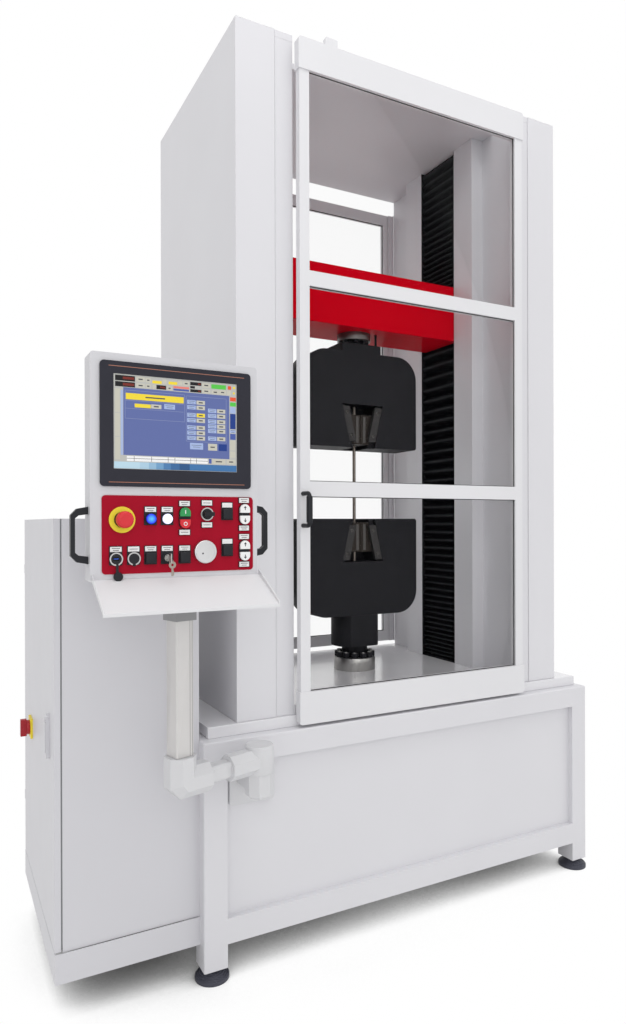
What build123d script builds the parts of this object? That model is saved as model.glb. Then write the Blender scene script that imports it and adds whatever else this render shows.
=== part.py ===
from build123d import *
import math
import os

os.makedirs("parts", exist_ok=True)

# Base frame: welded square tube on levelling feet (mm, load axis at X = Y = 0, floor at Z = 0)
frame_half_x = 750
frame_half_y = 433
frame_top = 677
tube = 70
tube_wall = 5
leg_low = 34
rail_low = 100
rail_low_h = 72
edge_r = 5
panel_recess = 20
sheet = 3
foot_d = 98
foot_pad_h = 9
foot_cone_h = 17
foot_cone_top_r = 24
foot_stud_d = 20
foot_stud_top = 84
foot_nut_r = 16
foot_nut_low = 25

# Table plate and the raised test bed between the columns
table_inset_x = 24
table_inset_y = 34
table_half_x = frame_half_x - table_inset_x
table_half_y = frame_half_y - table_inset_y
table_t = 33
table_top = frame_top + table_t
bed_t = 30
bed_top = table_top + bed_t
bed_inset_y = 45
bed_half_y = frame_half_y - bed_inset_y
bed_gap = 0.5

# Crosshead beam: the screws, posts and columns are laid out from it
beam_inset_x = 150
beam_half_x = frame_half_x - beam_inset_x
beam_half_y = 103
beam_h = 211
beam_lift = 1293
beam_low = table_top + beam_lift
beam_top = beam_low + beam_h
screw_inset = 70
post_inset = 35

# Drive: two ball screws, four guide posts, motor and belt
screw_x = beam_half_x - screw_inset
screw_d = 40
journal_d = 30
nut_wall = 10.95
nut_d = screw_d + 2 * nut_wall
post_y = beam_half_y - post_inset
post_d = 50
bush_wall = 8
bush_d = post_d + 2 * bush_wall
seat_gap = 0.05
run_gap = 0.05
table_hole_d = 64
bearing_wall = 24
bearing_d = journal_d + 2 * bearing_wall
bearing_h = 52
pulley_drop = 115
pulley_t = 30
pulley_low = frame_top - pulley_drop
pulley_high = pulley_low + pulley_t
screw_pulley_d = 140
motor_pulley_d = 80
belt_gap = 0.3
belt_t = 4
motor_y = 200
motor_d = 130
motor_len = 250
motor_flange = 190
motor_flange_t = 16
motor_shaft_d = 24
motor_drop = 34
spacer_d = 18

# Columns: outer cover, inner cover with a raised block, slot for the bellows
column_room = 31
col_out = beam_half_x + column_room + sheet
seam_from_screw = 23
wall_from_screw = 83
block_from_screw = 135.5
col_seam = screw_x - seam_from_screw
col_in = screw_x - wall_from_screw
block_x = screw_x - block_from_screw
col_inset_y = 43
col_half_y = frame_half_y - col_inset_y
block_half_y = 213
slot_gap = 3
slot_half_y = beam_half_y + slot_gap
slot_return = 36
crown_lift = 2039
crown_t = 20
crown_low = table_top + crown_lift
crown_set_back = 117
col_top = crown_low + crown_t

# Bellows folds
fold_set_back = 5.5
fold_near = block_x + fold_set_back
fold_deep = 14
fold_far = fold_near + fold_deep
fold_t = 1.5
fold_pitch = 30
bellows_half_y = slot_half_y - 2

# Lower mounting and upper load string
flange_d = 156
flange_h = 47
flange_bolts = 12
bolt_ring_r = 64
bolt_head_d = 23
bolt_head_h = 20
flange_top = bed_top + flange_h
stem_d = 178
stem_flat = 70
neck_d = 96
neck_h = 45
stem_h = 115
stem_low = flange_top + neck_h
cell_d = 125
cell_h = 28
cell_low = beam_low - cell_h
cell_bolt_r = 48
cell_bolt_d = 15
cell_bolt_h = 10
block_gap = 19
block_h = 33
block_half_x = 86
block_half = 60
block_neck_d = 76
block_top = cell_low - block_gap

# Wedge grips, measured from the mouth
grip_half_x = 241
grip_half_y = 65
grip_big_r = 86
grip_small_r = 10
upper_grip_h = 353
lower_grip_h = 359
upper_end = block_top - block_h
upper_mouth = upper_end - upper_grip_h
lower_end = stem_low + stem_h
lower_mouth = lower_end + lower_grip_h
pocket_h = 160
pocket_half = 52
pocket_slope = 0.225
pocket_back_y = 35
ledge_w = 20
ledge_deep = 17
ledge_y = ledge_deep - grip_half_y
side_plate_t = 14
side_plate_w = 30
side_screw_d = 13
jaw_from = 14
jaw_h = 110
jaw_to = jaw_from + jaw_h
jaw_gap = 0.35
jaw_split = 1.0
rod_d = 12
rod_gap = 0.4
rod_bore_d = rod_d + 12
rod_grip = 170
rod_low = lower_mouth - rod_grip
rod_high = upper_mouth + rod_grip + 6
upper_bore = rod_grip + 162
lower_bore = rod_grip + 20

# Front and rear doors
door_gap = 11
door_t = 24
door_side_gap = 4
rail_proud = 4
door_back_y = -col_half_y - door_gap
door_stile_y = door_back_y - door_t
door_rail_y = door_stile_y - rail_proud
door_rail_half_x = col_in
door_half_x = col_in - door_side_gap
door_low = frame_top + 9
door_high = crown_low - 2
door_low_rail = 98
door_top_rail = 95
door_round = 9
stile_w = 33
mid_rail_h = 46
mid_rail_lifts = (685, 1320)
mid_rails = [(door_low + z, door_low + z + mid_rail_h) for z in mid_rail_lifts]
pane_t = 5
pane_inset = 10
grab_d = 13
grab_reach = 42
grab_lift = 597
grab_len = 96
grab_inset = 9
rear_low = table_top + 44
rear_high = crown_low - 59
rear_stile = 43
rear_rail = 45
hinge_pin_d = 6
hinge_d = 12
hinge_h = 30
hinge_x = col_in + 5
hinge_y = col_half_y + 15
hinge_z = [table_top + z for z in (222, 1002, 1782)]
lock_tab_w = 42
lock_tab_t = 16
lock_tab_h = 23
lock_tab_in = 92

# Cabinet on the left side
cab_w = 370
cab_len = 672
cab_h = 1125
cab_x1 = -frame_half_x
cab_x0 = cab_x1 - cab_w
cab_set_back = 40
cab_y0 = cab_set_back - frame_half_y
cab_y1 = cab_y0 + cab_len
cab_low = 179
cab_top = cab_low + cab_h
plinth_low = 101
plinth_proud = 20
plinth_lap = 6
cab_door_t = 16
cab_door_gap = 4
cab_door_lift = 3
cab_door_x1 = cab_x0 - cab_door_gap
cab_door_x0 = cab_door_x1 - cab_door_t
cab_pin_d = 8
cab_pin_x = cab_door_x1 - cab_door_t / 2
cab_pin_y = cab_y1 + 7
cab_hinge_z = (cab_low + 173, cab_top - 182)
lock_plate = (26, 118, 9)
lock_y = cab_y0 + 77
lock_z = cab_low + 483
switch_plate_w = 60
switch_y = cab_y1 - 188
switch_z = cab_low + 468
knob_gap = 0.5

# Pendant arm and control panel
hub_in = 128
hub_reach = 92
hub_x = hub_in - frame_half_x
hub_y = -frame_half_y - hub_reach
hub_r = 40
hub_h = 65.5
hub_pin_d = 30
bracket_left = 48
bracket_right = 92
bracket_drop = 58
arm_angle = 15.3
arm_len = 254
arm_drop = 69
arm_low = frame_top - arm_drop
drum_d = 80
drum_h = 76
arm_top = arm_low + drum_h
arm_mid = arm_low + 34
arm_tube = 42
socket_w = 66
socket_len = 109
elbow_w = 76
elbow_reach = 77
elbow_cut = 8
elbow_top = arm_top + 25
post_w = 50
post_pin_d = 36
post_h = 340
post_top = elbow_top + post_h
coupling_w = 60
coupling_h = 40
neck_lift = 63
post_x = hub_x - arm_len * math.cos(math.radians(arm_angle))
post_cy = hub_y - arm_len * math.sin(math.radians(arm_angle))
panel_left = 223
panel_deep = 64
panel_front = 28
panel_x0 = post_x - panel_left
panel_y0 = post_cy - panel_front
panel_y1 = panel_y0 + panel_deep
panel_low = post_top + coupling_h + neck_lift
face_t = 2
face_y = panel_y0 - face_t

# Columns and rows of controls on the red plate set its size, and with it the panel's
plate_left = 26
plate_right = 12.5
plate_foot = 19
first_column = 32
port_pitch = 42
cap_pitch = 41
key_pitch = 41
start_pitch = 44
dial_pitch = 58
spare_pitch = 54
jog_pitch = 46
last_column = 25.5
low_row = 36
row_pitch = 95
twin_w = 26.4
twin_h = 51
twin_strip = 7.6
twin_rim = 1.3
head_room = 56
cx0 = panel_x0 + plate_left
cz0 = panel_low + plate_foot
port_x = cx0 + first_column
port2_x = port_x + port_pitch
cap_x = port2_x + cap_pitch
key_x = cap_x + key_pitch
start_x = key_x + start_pitch
dial_x = start_x + dial_pitch
spare_x = dial_x + spare_pitch
jog_x = spare_x + jog_pitch
cx1 = jog_x + last_column
panel_x1 = cx1 + plate_right
row_1 = cz0 + low_row
row_2 = row_1 + row_pitch
cz1 = row_2 + head_room
estop_at = ((port_x + port2_x) / 2 - 6, row_2 - 2)
blue_at = (cap_x, row_2)
lamp_at = (key_x, row_2)
twin_at = (start_x, row_2 + 2.5)
selector_at = (dial_x, row_2 + 12)
key_at = (key_x, row_1)
dial_at = (dial_x - 6.5, row_1 + 13)
jogs_at = ((jog_x, row_2 + 12), (jog_x, row_1 + 14))
caps_at = ((spare_x, row_2 + 12), (spare_x, row_1 + 15), (cap_x, row_1), (start_x, row_1))
ports_at = ((port_x, row_1), (port2_x, row_1))
label_w = 30
label_h = 15
label_t = 2.5
label_lift = 35.5
legend_w = 31
legend_low = 15
legend_high = 30.5
labels_at = [(selector_at[0], selector_at[1] + 28), (selector_at[0], selector_at[1] - 27)]
for x, z in (twin_at, *jogs_at):
    labels_at += [(x, z + label_lift), (x, z - label_lift)]
switch_d = 20.6
switch_hole_d = 21.4
switch_ring_d = 29
estop_d = 40
estop_stem_d = 24
estop_plate_d = 61
dial_d = 58
dial_h = 13
cap_d = 27
bezel_gap = 21
bezel_h = 296.5
bezel_head = 19.5
bezel_t = 6
bezel_x0 = panel_x0 + 22
bezel_x1 = panel_x1 - 19.5
bezel_z0 = cz1 + bezel_gap
bezel_z1 = bezel_z0 + bezel_h
panel_high = bezel_z1 + bezel_head
screen_x0 = bezel_x0 + 31.5
screen_x1 = bezel_x1 - 38
screen_z0 = bezel_z0 + 42
screen_z1 = bezel_z1 - 29.5
shelf_reach = 128
shelf_drop = 74
shelf_lip = 7
shelf_side = 12
handle_reach = 40

nodes = {}


def span(x0, x1, y0, y1, z0, z1):
    return Pos((x0 + x1) / 2, (y0 + y1) / 2, (z0 + z1) / 2) * Box(x1 - x0, y1 - y0, z1 - z0)


def rod(x, y, z0, z1, d):
    return Pos(x, y, (z0 + z1) / 2) * Cylinder(d / 2, z1 - z0)


def rod_y(x, z, y0, y1, d):
    return Pos(x, (y0 + y1) / 2, z) * Rot(90, 0, 0) * Cylinder(d / 2, y1 - y0)


def rod_x(y, z, x0, x1, d):
    return Pos((x0 + x1) / 2, y, z) * Rot(0, 90, 0) * Cylinder(d / 2, x1 - x0)


def slab_y(points, y0, y1):
    # a flat XZ outline given thickness along Y
    outline = make_face(Polyline(*[(x, 0, z) for x, z in points], close=True))
    return Pos(0, y0, 0) * extrude(outline, amount=y1 - y0, dir=(0, 1, 0))


def slab_x(points, x0, x1):
    # a flat YZ outline given length along X
    outline = make_face(Polyline(*[(0, y, z) for y, z in points], close=True))
    return Pos(x0, 0, 0) * extrude(outline, amount=x1 - x0, dir=(1, 0, 0))


def group(*shapes):
    return Compound([solid for shape in shapes for solid in shape.solids()])


def flip_x(shape):
    return mirror(shape, about=Plane.YZ)


def flip_y(shape):
    return mirror(shape, about=Plane.XZ)


# Base frame: the outer edges are rounded on the whole frame, then it is parted into its tubes
inner_x = frame_half_x - tube
inner_y = frame_half_y - tube
rail_top_z = frame_top - tube
rail_low_top = rail_low + rail_low_h
outer = span(-frame_half_x, frame_half_x, -frame_half_y, frame_half_y, leg_low, frame_top)
corner_edges = outer.edges().filter_by(Axis.Z)
rim_edges = outer.faces().sort_by(Axis.Z)[-1].edges()
rounded = fillet(corner_edges + rim_edges, edge_r)
tubes = []
for sx in (-1, 1):
    for sy in (-1, 1):
        x0, x1 = sorted((sx * inner_x, sx * frame_half_x))
        y0, y1 = sorted((sy * inner_y, sy * frame_half_y))
        leg = rounded & span(x0, x1, y0, y1, leg_low, frame_top)
        leg -= span(x0 + tube_wall, x1 - tube_wall, y0 + tube_wall, y1 - tube_wall, leg_low + 8, frame_top - tube_wall)
        leg -= rod((x0 + x1) / 2, (y0 + y1) / 2, leg_low - 1, leg_low + 9, foot_stud_d + 4)
        tubes.append(leg)
for z0, z1 in ((rail_low, rail_low_top), (rail_top_z, frame_top)):
    for s in (-1, 1):
        y0, y1 = sorted((s * inner_y, s * frame_half_y))
        rail = rounded & span(-inner_x, inner_x, y0, y1, z0, z1)
        rail -= span(-inner_x, inner_x, y0 + tube_wall, y1 - tube_wall, z0 + tube_wall, z1 - tube_wall)
        x0, x1 = sorted((s * inner_x, s * frame_half_x))
        side = rounded & span(x0, x1, -inner_y, inner_y, z0, z1)
        side -= span(x0 + tube_wall, x1 - tube_wall, -inner_y, inner_y, z0 + tube_wall, z1 - tube_wall)
        tubes += [rail, side]
nodes["base_frame"] = group(*tubes)

# Infill sheets set back from the frame faces
face_x = frame_half_x - panel_recess
face_yb = frame_half_y - panel_recess
front_sheet = span(-inner_x, inner_x, -face_yb, -face_yb + sheet, rail_low_top, rail_top_z)
side_sheet = span(-face_x, -face_x + sheet, -inner_y, inner_y, rail_low_top, rail_top_z)
nodes["base_panels"] = group(front_sheet, flip_y(front_sheet), side_sheet, flip_x(side_sheet))

# Levelling feet with stud and lock nut
foot_x = frame_half_x - tube / 2
foot_y = frame_half_y - tube / 2
feet = []
for sx in (-1, 1):
    for sy in (-1, 1):
        foot = rod(0, 0, 0, foot_pad_h, foot_d)
        foot += Pos(0, 0, foot_pad_h + foot_cone_h / 2) * Cone(foot_d / 2, foot_cone_top_r, foot_cone_h)
        foot += rod(0, 0, foot_pad_h, foot_stud_top, foot_stud_d)
        foot += Pos(0, 0, foot_nut_low) * extrude(RegularPolygon(foot_nut_r, 6), amount=leg_low - foot_nut_low)
        feet.append(Pos(sx * foot_x, sy * foot_y, 0) * foot)
nodes["levelling_feet"] = group(*feet)

# Table plate with clearance holes for the screws, and the raised test bed
table = span(-table_half_x, table_half_x, -table_half_y, table_half_y, frame_top, table_top)
for sx in (-1, 1):
    table -= rod(sx * screw_x, 0, frame_top - 1, table_top + 1, table_hole_d)
bed_x = block_x - bed_gap
bed = span(-bed_x, bed_x, -bed_half_y, bed_half_y, table_top, bed_top)
for sy in (-1, 1):
    y0, y1 = sorted((sy * (block_half_y + bed_gap), sy * bed_half_y))
    bed += span(bed_gap - col_in, col_in - bed_gap, y0, y1, table_top, bed_top)
nodes["table_plate"] = group(table, bed)

# Outer column covers: folded channels open towards the machine's middle
cover = span(col_seam, col_out, -col_half_y, col_half_y, table_top, col_top)
cover -= span(col_seam - 1, col_out - sheet, -col_half_y + sheet, col_half_y - sheet, table_top, col_top)
nodes["column_covers"] = group(flip_x(cover), cover)

# Inner column covers: front flange, wall, step, block face and slot return
y_in = -col_half_y + sheet
half = span(col_in, col_seam + 3, y_in, y_in + sheet, table_top, crown_low)
half += span(col_in, col_in + sheet, y_in, -block_half_y + sheet, table_top, crown_low)
half += span(block_x, col_in + sheet, -block_half_y, -block_half_y + sheet, table_top, crown_low)
half += span(block_x, block_x + sheet, -block_half_y, -slot_half_y, table_top, crown_low)
half += span(block_x, block_x + slot_return, -slot_half_y - sheet, -slot_half_y, table_top, crown_low)
both = [half, flip_y(half)]
nodes["column_inner_covers"] = group(*both, *[flip_x(part) for part in both])

# Guide posts between the table and the crown
posts = []
for sx in (-1, 1):
    for sy in (-1, 1):
        posts.append(rod(sx * screw_x, sy * post_y, table_top, crown_low, post_d))
nodes["guide_posts"] = group(*posts)

# Crown plate closing the top, set back behind the door's top rail
inside_x = col_out - sheet
inside_y = col_half_y - sheet
crown = span(-inside_x, inside_x, -inside_y, inside_y, crown_low, col_top)
crown -= span(-col_in, col_in, -inside_y - 1, crown_set_back - inside_y, crown_low - 1, col_top + 1)
nodes["top_plate"] = crown

# Screw bearings at the table and under the crown
housings = []
for sx in (-1, 1):
    for z0, z1 in ((table_top, table_top + bearing_h), (crown_low - bearing_h + 2, crown_low)):
        housing = rod(sx * screw_x, 0, z0, z1, bearing_d)
        housing -= rod(sx * screw_x, 0, z0 - 1, z1 + 1, journal_d + 2 * run_gap)
        housings.append(housing)
nodes["screw_bearings"] = group(*housings)


def ball_screw(x):
    shaft = rod(x, 0, table_top + bearing_h + 8, crown_low - bearing_h - 6, screw_d)
    shaft += rod(x, 0, pulley_low - 10, crown_low - 2, journal_d)
    shaft += rod(x, 0, pulley_low, pulley_high, screw_pulley_d)
    return shaft


nodes["left_ball_screw"] = ball_screw(-screw_x)
nodes["right_ball_screw"] = ball_screw(screw_x)

# Servo motor hung under the table on four spacers, shaft up
flange_z = pulley_low - motor_drop
motor_z = flange_z - motor_flange_t
flange_half = motor_flange / 2
spacer_at = flange_half - 15
motor = span(-flange_half, flange_half, motor_y - flange_half, motor_y + flange_half, motor_z, flange_z)
motor += rod(0, motor_y, motor_z - motor_len, motor_z, motor_d)
motor += span(-40, 40, motor_y + motor_d / 2 - 15, motor_y + motor_d / 2 + 20, motor_z - 210, motor_z - 140)
for sx in (-1, 1):
    for sy in (-1, 1):
        motor += rod(sx * spacer_at, motor_y + sy * spacer_at, flange_z, frame_top, spacer_d)
motor -= rod(0, motor_y, motor_z - 40, flange_z + 1, motor_shaft_d + 2)
nodes["servo_motor"] = motor
pulley = rod(0, motor_y, pulley_low, pulley_high, motor_pulley_d)
pulley += rod(0, motor_y, motor_z - 35, pulley_low, motor_shaft_d)
nodes["motor_pulley"] = pulley


def belt_face(extra):
    big = screw_pulley_d / 2 + extra
    small = motor_pulley_d / 2 + extra
    rings = [
        Edge.make_circle(big, Plane((-screw_x, 0, 0))),
        Edge.make_circle(big, Plane((screw_x, 0, 0))),
        Edge.make_circle(small, Plane((0, motor_y, 0))),
    ]
    return make_hull(rings)


belt = extrude(belt_face(belt_gap + belt_t), amount=pulley_high - pulley_low - 4)
belt -= Pos(0, 0, -1) * extrude(belt_face(belt_gap), amount=pulley_high - pulley_low)
nodes["drive_belt"] = Pos(0, 0, pulley_low + 2) * belt

# Crosshead beam with bores for the ball nuts and guide bushes
beam = span(-beam_half_x, beam_half_x, -beam_half_y, beam_half_y, beam_low, beam_top)
nuts = []
for sx in (-1, 1):
    beam -= rod(sx * screw_x, 0, beam_low - 1, beam_top + 1, nut_d + 2 * seat_gap)
    nut = rod(sx * screw_x, 0, beam_low - 40, beam_top + 10, nut_d)
    nut -= rod(sx * screw_x, 0, beam_low - 41, beam_top + 11, screw_d + 2 * run_gap)
    nuts.append(nut)
    for sy in (-1, 1):
        beam -= rod(sx * screw_x, sy * post_y, beam_low - 1, beam_top + 1, bush_d + 2 * seat_gap)
        bush = rod(sx * screw_x, sy * post_y, beam_low - 15, beam_top + 15, bush_d)
        bush -= rod(sx * screw_x, sy * post_y, beam_low - 16, beam_top + 16, post_d + 2 * run_gap)
        nuts.append(bush)
nodes["crosshead_beam"] = beam
nodes["crosshead_nuts"] = group(*nuts)


def bellows(z0, z1):
    # one folded strip in the right-hand slot
    count = 2 * round((z1 - z0) / fold_pitch)
    step = (z1 - z0) / count
    near = [(fold_near if k % 2 else fold_far, z0 + k * step) for k in range(count + 1)]
    far = [(x + fold_t, z) for x, z in reversed(near)]
    return slab_y(near + far, -bellows_half_y, bellows_half_y)


for name, z0, z1 in (("upper_bellows", beam_top, crown_low), ("lower_bellows", table_top, beam_low)):
    strip = bellows(z0, z1)
    nodes[name] = group(flip_x(strip), strip)

# Load cell with bolt heads, and the adapter block down to the upper grip
cell = rod(0, 0, cell_low, beam_low, cell_d)
head = rod(cell_bolt_r, 0, cell_low - cell_bolt_h, cell_low, cell_bolt_d)
nodes["load_cell"] = group(cell, *[Rot(0, 0, 22.5 + 45 * k) * head for k in range(8)])
adapter = span(-block_half_x, block_half_x, -block_half, block_half, upper_end, block_top)
adapter = fillet(adapter.edges().filter_by(Axis.Z), 8)
adapter += rod(0, 0, block_top, cell_low, block_neck_d)
adapter += rod(block_half_x - 12, 22 - block_half, block_top, beam_low, 9)
nodes["grip_adapter"] = adapter


def wedge_outline(low, high, half, inset):
    # both slanted sides of the pocket between two heights above the mouth
    wide_low = half - inset + pocket_slope * low
    wide_high = half - inset + pocket_slope * high
    return [(-wide_low, low), (wide_low, low), (wide_high, high), (-wide_high, high)]


def side_outline(low, high, half, width):
    # a slanted bar lying along the right side of the pocket
    out_low = half + pocket_slope * low
    out_high = half + pocket_slope * high
    return [(out_low - width, low), (out_low, low), (out_high, high), (out_high - width, high)]


def grip_body(height, bore_top):
    body = span(-grip_half_x, grip_half_x, -grip_half_y, grip_half_y, 0, height)
    along = body.edges().filter_by(Axis.Y).sort_by(Axis.Z)
    body = fillet(along[2:], grip_big_r)
    along = body.edges().filter_by(Axis.Y).sort_by(Axis.Z)
    body = fillet(along[:2], grip_small_r)
    body -= slab_y(wedge_outline(-1, pocket_h, pocket_half, 0), -grip_half_y - 1, ledge_y)
    body -= slab_y(wedge_outline(-1, pocket_h, pocket_half, ledge_w), ledge_y, pocket_back_y)
    body -= rod(0, 0, pocket_h - 1, bore_top, rod_bore_d)
    return body


def side_plates():
    front = ledge_y - side_plate_t
    seat = ledge_y - side_plate_t / 2 + 1
    plate = slab_y(side_outline(24, pocket_h - 8, pocket_half, side_plate_w), front, ledge_y)
    screws = []
    for z in (44, pocket_h - 30):
        x = pocket_half + pocket_slope * z - side_plate_w / 2
        plate -= rod_y(x, z, front - 1, seat, side_screw_d + 2)
        screw = rod_y(x, z, seat - 6, seat, side_screw_d)
        screws.append(screw - rod_y(x, z, seat - 7, seat - 3, side_screw_d / 2 - 0.5))
    right = [plate, *screws]
    return group(*right, *[flip_x(part) for part in right])


def right_jaw():
    lean = jaw_gap * math.sqrt(1 + pocket_slope**2)
    out_low = pocket_half - ledge_w + pocket_slope * jaw_from - lean
    out_high = pocket_half - ledge_w + pocket_slope * jaw_to - lean
    outline = [(jaw_split, jaw_from), (out_low, jaw_from), (out_high, jaw_to), (jaw_split, jaw_to)]
    jaw = slab_y(outline, ledge_y + 0.3, pocket_back_y - 0.3)
    return jaw - rod(0, 0, jaw_from - 1, jaw_to + 1, rod_d + 2 * rod_gap)


def place_upper(shape):
    return Pos(0, 0, upper_mouth) * shape


def place_lower(shape):
    return Pos(0, 0, lower_mouth) * mirror(shape, about=Plane.XY)


nodes["upper_grip_body"] = place_upper(grip_body(upper_grip_h, upper_bore))
nodes["lower_grip_body"] = place_lower(grip_body(lower_grip_h, lower_bore))
nodes["upper_jaw_plates"] = place_upper(side_plates())
nodes["lower_jaw_plates"] = place_lower(side_plates())
jaw = right_jaw()
nodes["upper_right_jaw"] = place_upper(jaw)
nodes["upper_left_jaw"] = place_upper(flip_x(jaw))
nodes["lower_right_jaw"] = place_lower(jaw)
nodes["lower_left_jaw"] = place_lower(flip_x(jaw))
nodes["specimen"] = rod(0, 0, rod_low, rod_high, rod_d)

# Lower grip post with front and back flats, and its bolted flange on the bed
stem = rod(0, 0, stem_low, lower_end, stem_d)
stem &= span(-stem_d, stem_d, -stem_flat, stem_flat, stem_low, lower_end)
stem += rod(0, 0, flange_top, stem_low, neck_d)
nodes["grip_post"] = stem
ring = [rod(0, 0, bed_top, flange_top, flange_d)]
head = rod(bolt_ring_r, 0, flange_top, flange_top + bolt_head_h, bolt_head_d)
head -= rod(bolt_ring_r, 0, flange_top + bolt_head_h / 2 - 1, flange_top + bolt_head_h + 1, bolt_head_d / 2 + 0.5)
for k in range(flange_bolts):
    ring.append(Rot(0, 0, 360 / flange_bolts * k) * head)
nodes["lower_flange"] = group(*ring)

# Front door: stiles, mid rails, and wider top and bottom rails with rounded ends; the interlock tab is on the top rail
stile_in = door_half_x - stile_w
low_rail_top = door_low + door_low_rail
top_rail_low = door_high - door_top_rail


def door_rail(z0, z1):
    rail = span(-door_rail_half_x, door_rail_half_x, door_rail_y, door_back_y, z0, z1)
    edges = rail.edges().filter_by(Axis.Y).sort_by(Axis.Z)
    outer_edges = edges[:2] if z0 == door_low else edges[2:]
    return fillet(outer_edges, door_round)


right_stile = span(stile_in, door_half_x, door_stile_y, door_back_y, low_rail_top, top_rail_low)
tab_x = lock_tab_in - col_in
lock_tab = span(tab_x, tab_x + lock_tab_w, door_rail_y, door_rail_y + lock_tab_t, door_high, door_high + lock_tab_h)
lock_tab = fillet(lock_tab.edges().filter_by(Axis.Y).group_by(Axis.Z)[-1], 4)
top_rail = door_rail(top_rail_low, door_high) + lock_tab
front_parts = [flip_x(right_stile), door_rail(door_low, low_rail_top), top_rail]
for z0, z1 in mid_rails:
    front_parts.append(span(-stile_in, stile_in, door_stile_y, door_back_y, z0, z1))
for z in hinge_z:
    leaf = span(door_half_x, hinge_x, -hinge_y - hinge_d / 2, door_back_y, z + 0.5, z + hinge_h)
    leaf += rod(hinge_x, -hinge_y, z + 0.5, z + hinge_h, hinge_d)
    right_stile += leaf - rod(hinge_x, -hinge_y, z, z + hinge_h + 1, hinge_pin_d + 2 * run_gap)
nodes["front_door_frame"] = group(right_stile, *front_parts)
levels = [low_rail_top, *[z for pair in mid_rails for z in pair], top_rail_low]
pane_y = door_back_y - pane_inset
panes = [span(-stile_in, stile_in, pane_y - pane_t, pane_y, levels[k], levels[k + 1]) for k in (0, 2, 4)]
nodes["front_door_panes"] = group(*panes)

# Bow handle on the left stile
grab_x = grab_inset - door_half_x
grab_y = door_stile_y - grab_reach
grab_z0 = door_low + grab_lift
grab_z1 = grab_z0 + grab_len
grab = FilletPolyline(
    (grab_x, door_stile_y, grab_z0), (grab_x, grab_y, grab_z0),
    (grab_x, grab_y, grab_z1), (grab_x, door_stile_y, grab_z1), radius=12,
)
nodes["front_door_handle"] = sweep(Plane(grab @ 0, z_dir=grab % 0) * Circle(grab_d / 2), path=grab)

# Rear door: one framed pane behind the columns, hung on the left
rear_in = door_half_x - rear_stile
rear_y0 = -door_back_y
rear_y1 = -door_stile_y
rear_left = span(-door_half_x, -rear_in, rear_y0, rear_y1, rear_low, rear_high)
rear_parts = [flip_x(rear_left)]
for z0, z1 in ((rear_low, rear_low + rear_rail), (rear_high - rear_rail, rear_high)):
    rear_parts.append(span(-rear_in, rear_in, rear_y0, rear_y1, z0, z1))
for z in hinge_z:
    leaf = span(-hinge_x, -door_half_x, rear_y0, hinge_y + hinge_d / 2, z + 0.5, z + hinge_h)
    leaf += rod(-hinge_x, hinge_y, z + 0.5, z + hinge_h, hinge_d)
    rear_left += leaf - rod(-hinge_x, hinge_y, z, z + hinge_h + 1, hinge_pin_d + 2 * run_gap)
nodes["rear_door_frame"] = group(rear_left, *rear_parts)
nodes["rear_door_pane"] = span(-rear_in, rear_in, -pane_y, pane_t - pane_y, rear_low + rear_rail, rear_high - rear_rail)

# Fixed hinge halves with pins
fittings = []
for z in hinge_z:
    lug = span(hinge_x - hinge_d / 2, hinge_x + hinge_d / 2, -hinge_y, sheet - col_half_y, z - hinge_h, z)
    lug += rod(hinge_x, -hinge_y, z - hinge_h, z, hinge_d)
    lug += rod(hinge_x, -hinge_y, z - hinge_h, z + hinge_h, hinge_pin_d)
    fittings += [lug, flip_x(flip_y(lug))]
nodes["door_fittings"] = group(*fittings)

# Cabinet: shell open towards its door, plinth, and hinge straps clear of the door's turning edge
shell = span(cab_x0, cab_x1, cab_y0, cab_y1, cab_low, cab_top)
shell -= span(cab_x0 - 1, cab_x1 - sheet, cab_y0 + sheet, cab_y1 - sheet, cab_low + sheet, cab_top - sheet)
knuckle = cab_door_t / 2 - 1
for z in cab_hinge_z:
    shell += span(cab_x0, cab_x0 + 40, cab_y1, cab_pin_y + knuckle, z - hinge_h, z)
    shell += span(cab_pin_x, cab_x0 + 40, cab_pin_y - 2, cab_pin_y + knuckle, z - hinge_h, z)
    shell += rod(cab_pin_x, cab_pin_y, z - hinge_h, z, 2 * knuckle)
    shell += rod(cab_pin_x, cab_pin_y, z - hinge_h, z + hinge_h, cab_pin_d)
px0 = cab_x0 - plinth_proud
px1 = cab_x1
py0 = cab_y0 - plinth_lap
py1 = cab_y1 + plinth_lap
plinth = span(px0, px1, py0, py1, plinth_low, cab_low)
plinth -= span(px0 + sheet, px1 - sheet, py0 + sheet, py1 - sheet, plinth_low - 1, cab_low + 1)
nodes["cabinet_body"] = group(shell, plinth)
leaf_low = cab_low + cab_door_lift
leaf = span(cab_door_x0, cab_door_x1, cab_y0, cab_y1, leaf_low, cab_top)
leaf -= span(cab_door_x0 + 2, cab_door_x1 + 1, cab_y0 + 2, cab_y1 - 2, leaf_low + 2, cab_top - 2)
for z in cab_hinge_z:
    lug = span(cab_door_x0, cab_door_x1, cab_y1, cab_pin_y + knuckle, z + 0.5, z + hinge_h)
    leaf += lug - rod(cab_pin_x, cab_pin_y, z, z + hinge_h + 1, cab_pin_d + 2 * run_gap)
lock = span(cab_door_x0 - lock_plate[2], cab_door_x0, lock_y, lock_y + lock_plate[0], lock_z, lock_z + lock_plate[1])
lock = fillet(lock.edges().filter_by(Axis.X), 8)
half_plate = switch_plate_w / 2
plate_x = cab_door_x0 - 6
plate = span(plate_x, cab_door_x0, switch_y - half_plate, switch_y + half_plate,
             switch_z - half_plate, switch_z + half_plate)
nodes["cabinet_door"] = group(leaf, lock, plate)
knob_x = plate_x - knob_gap
knob = rod_x(switch_y, switch_z, knob_x - 9, knob_x, 44)
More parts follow.
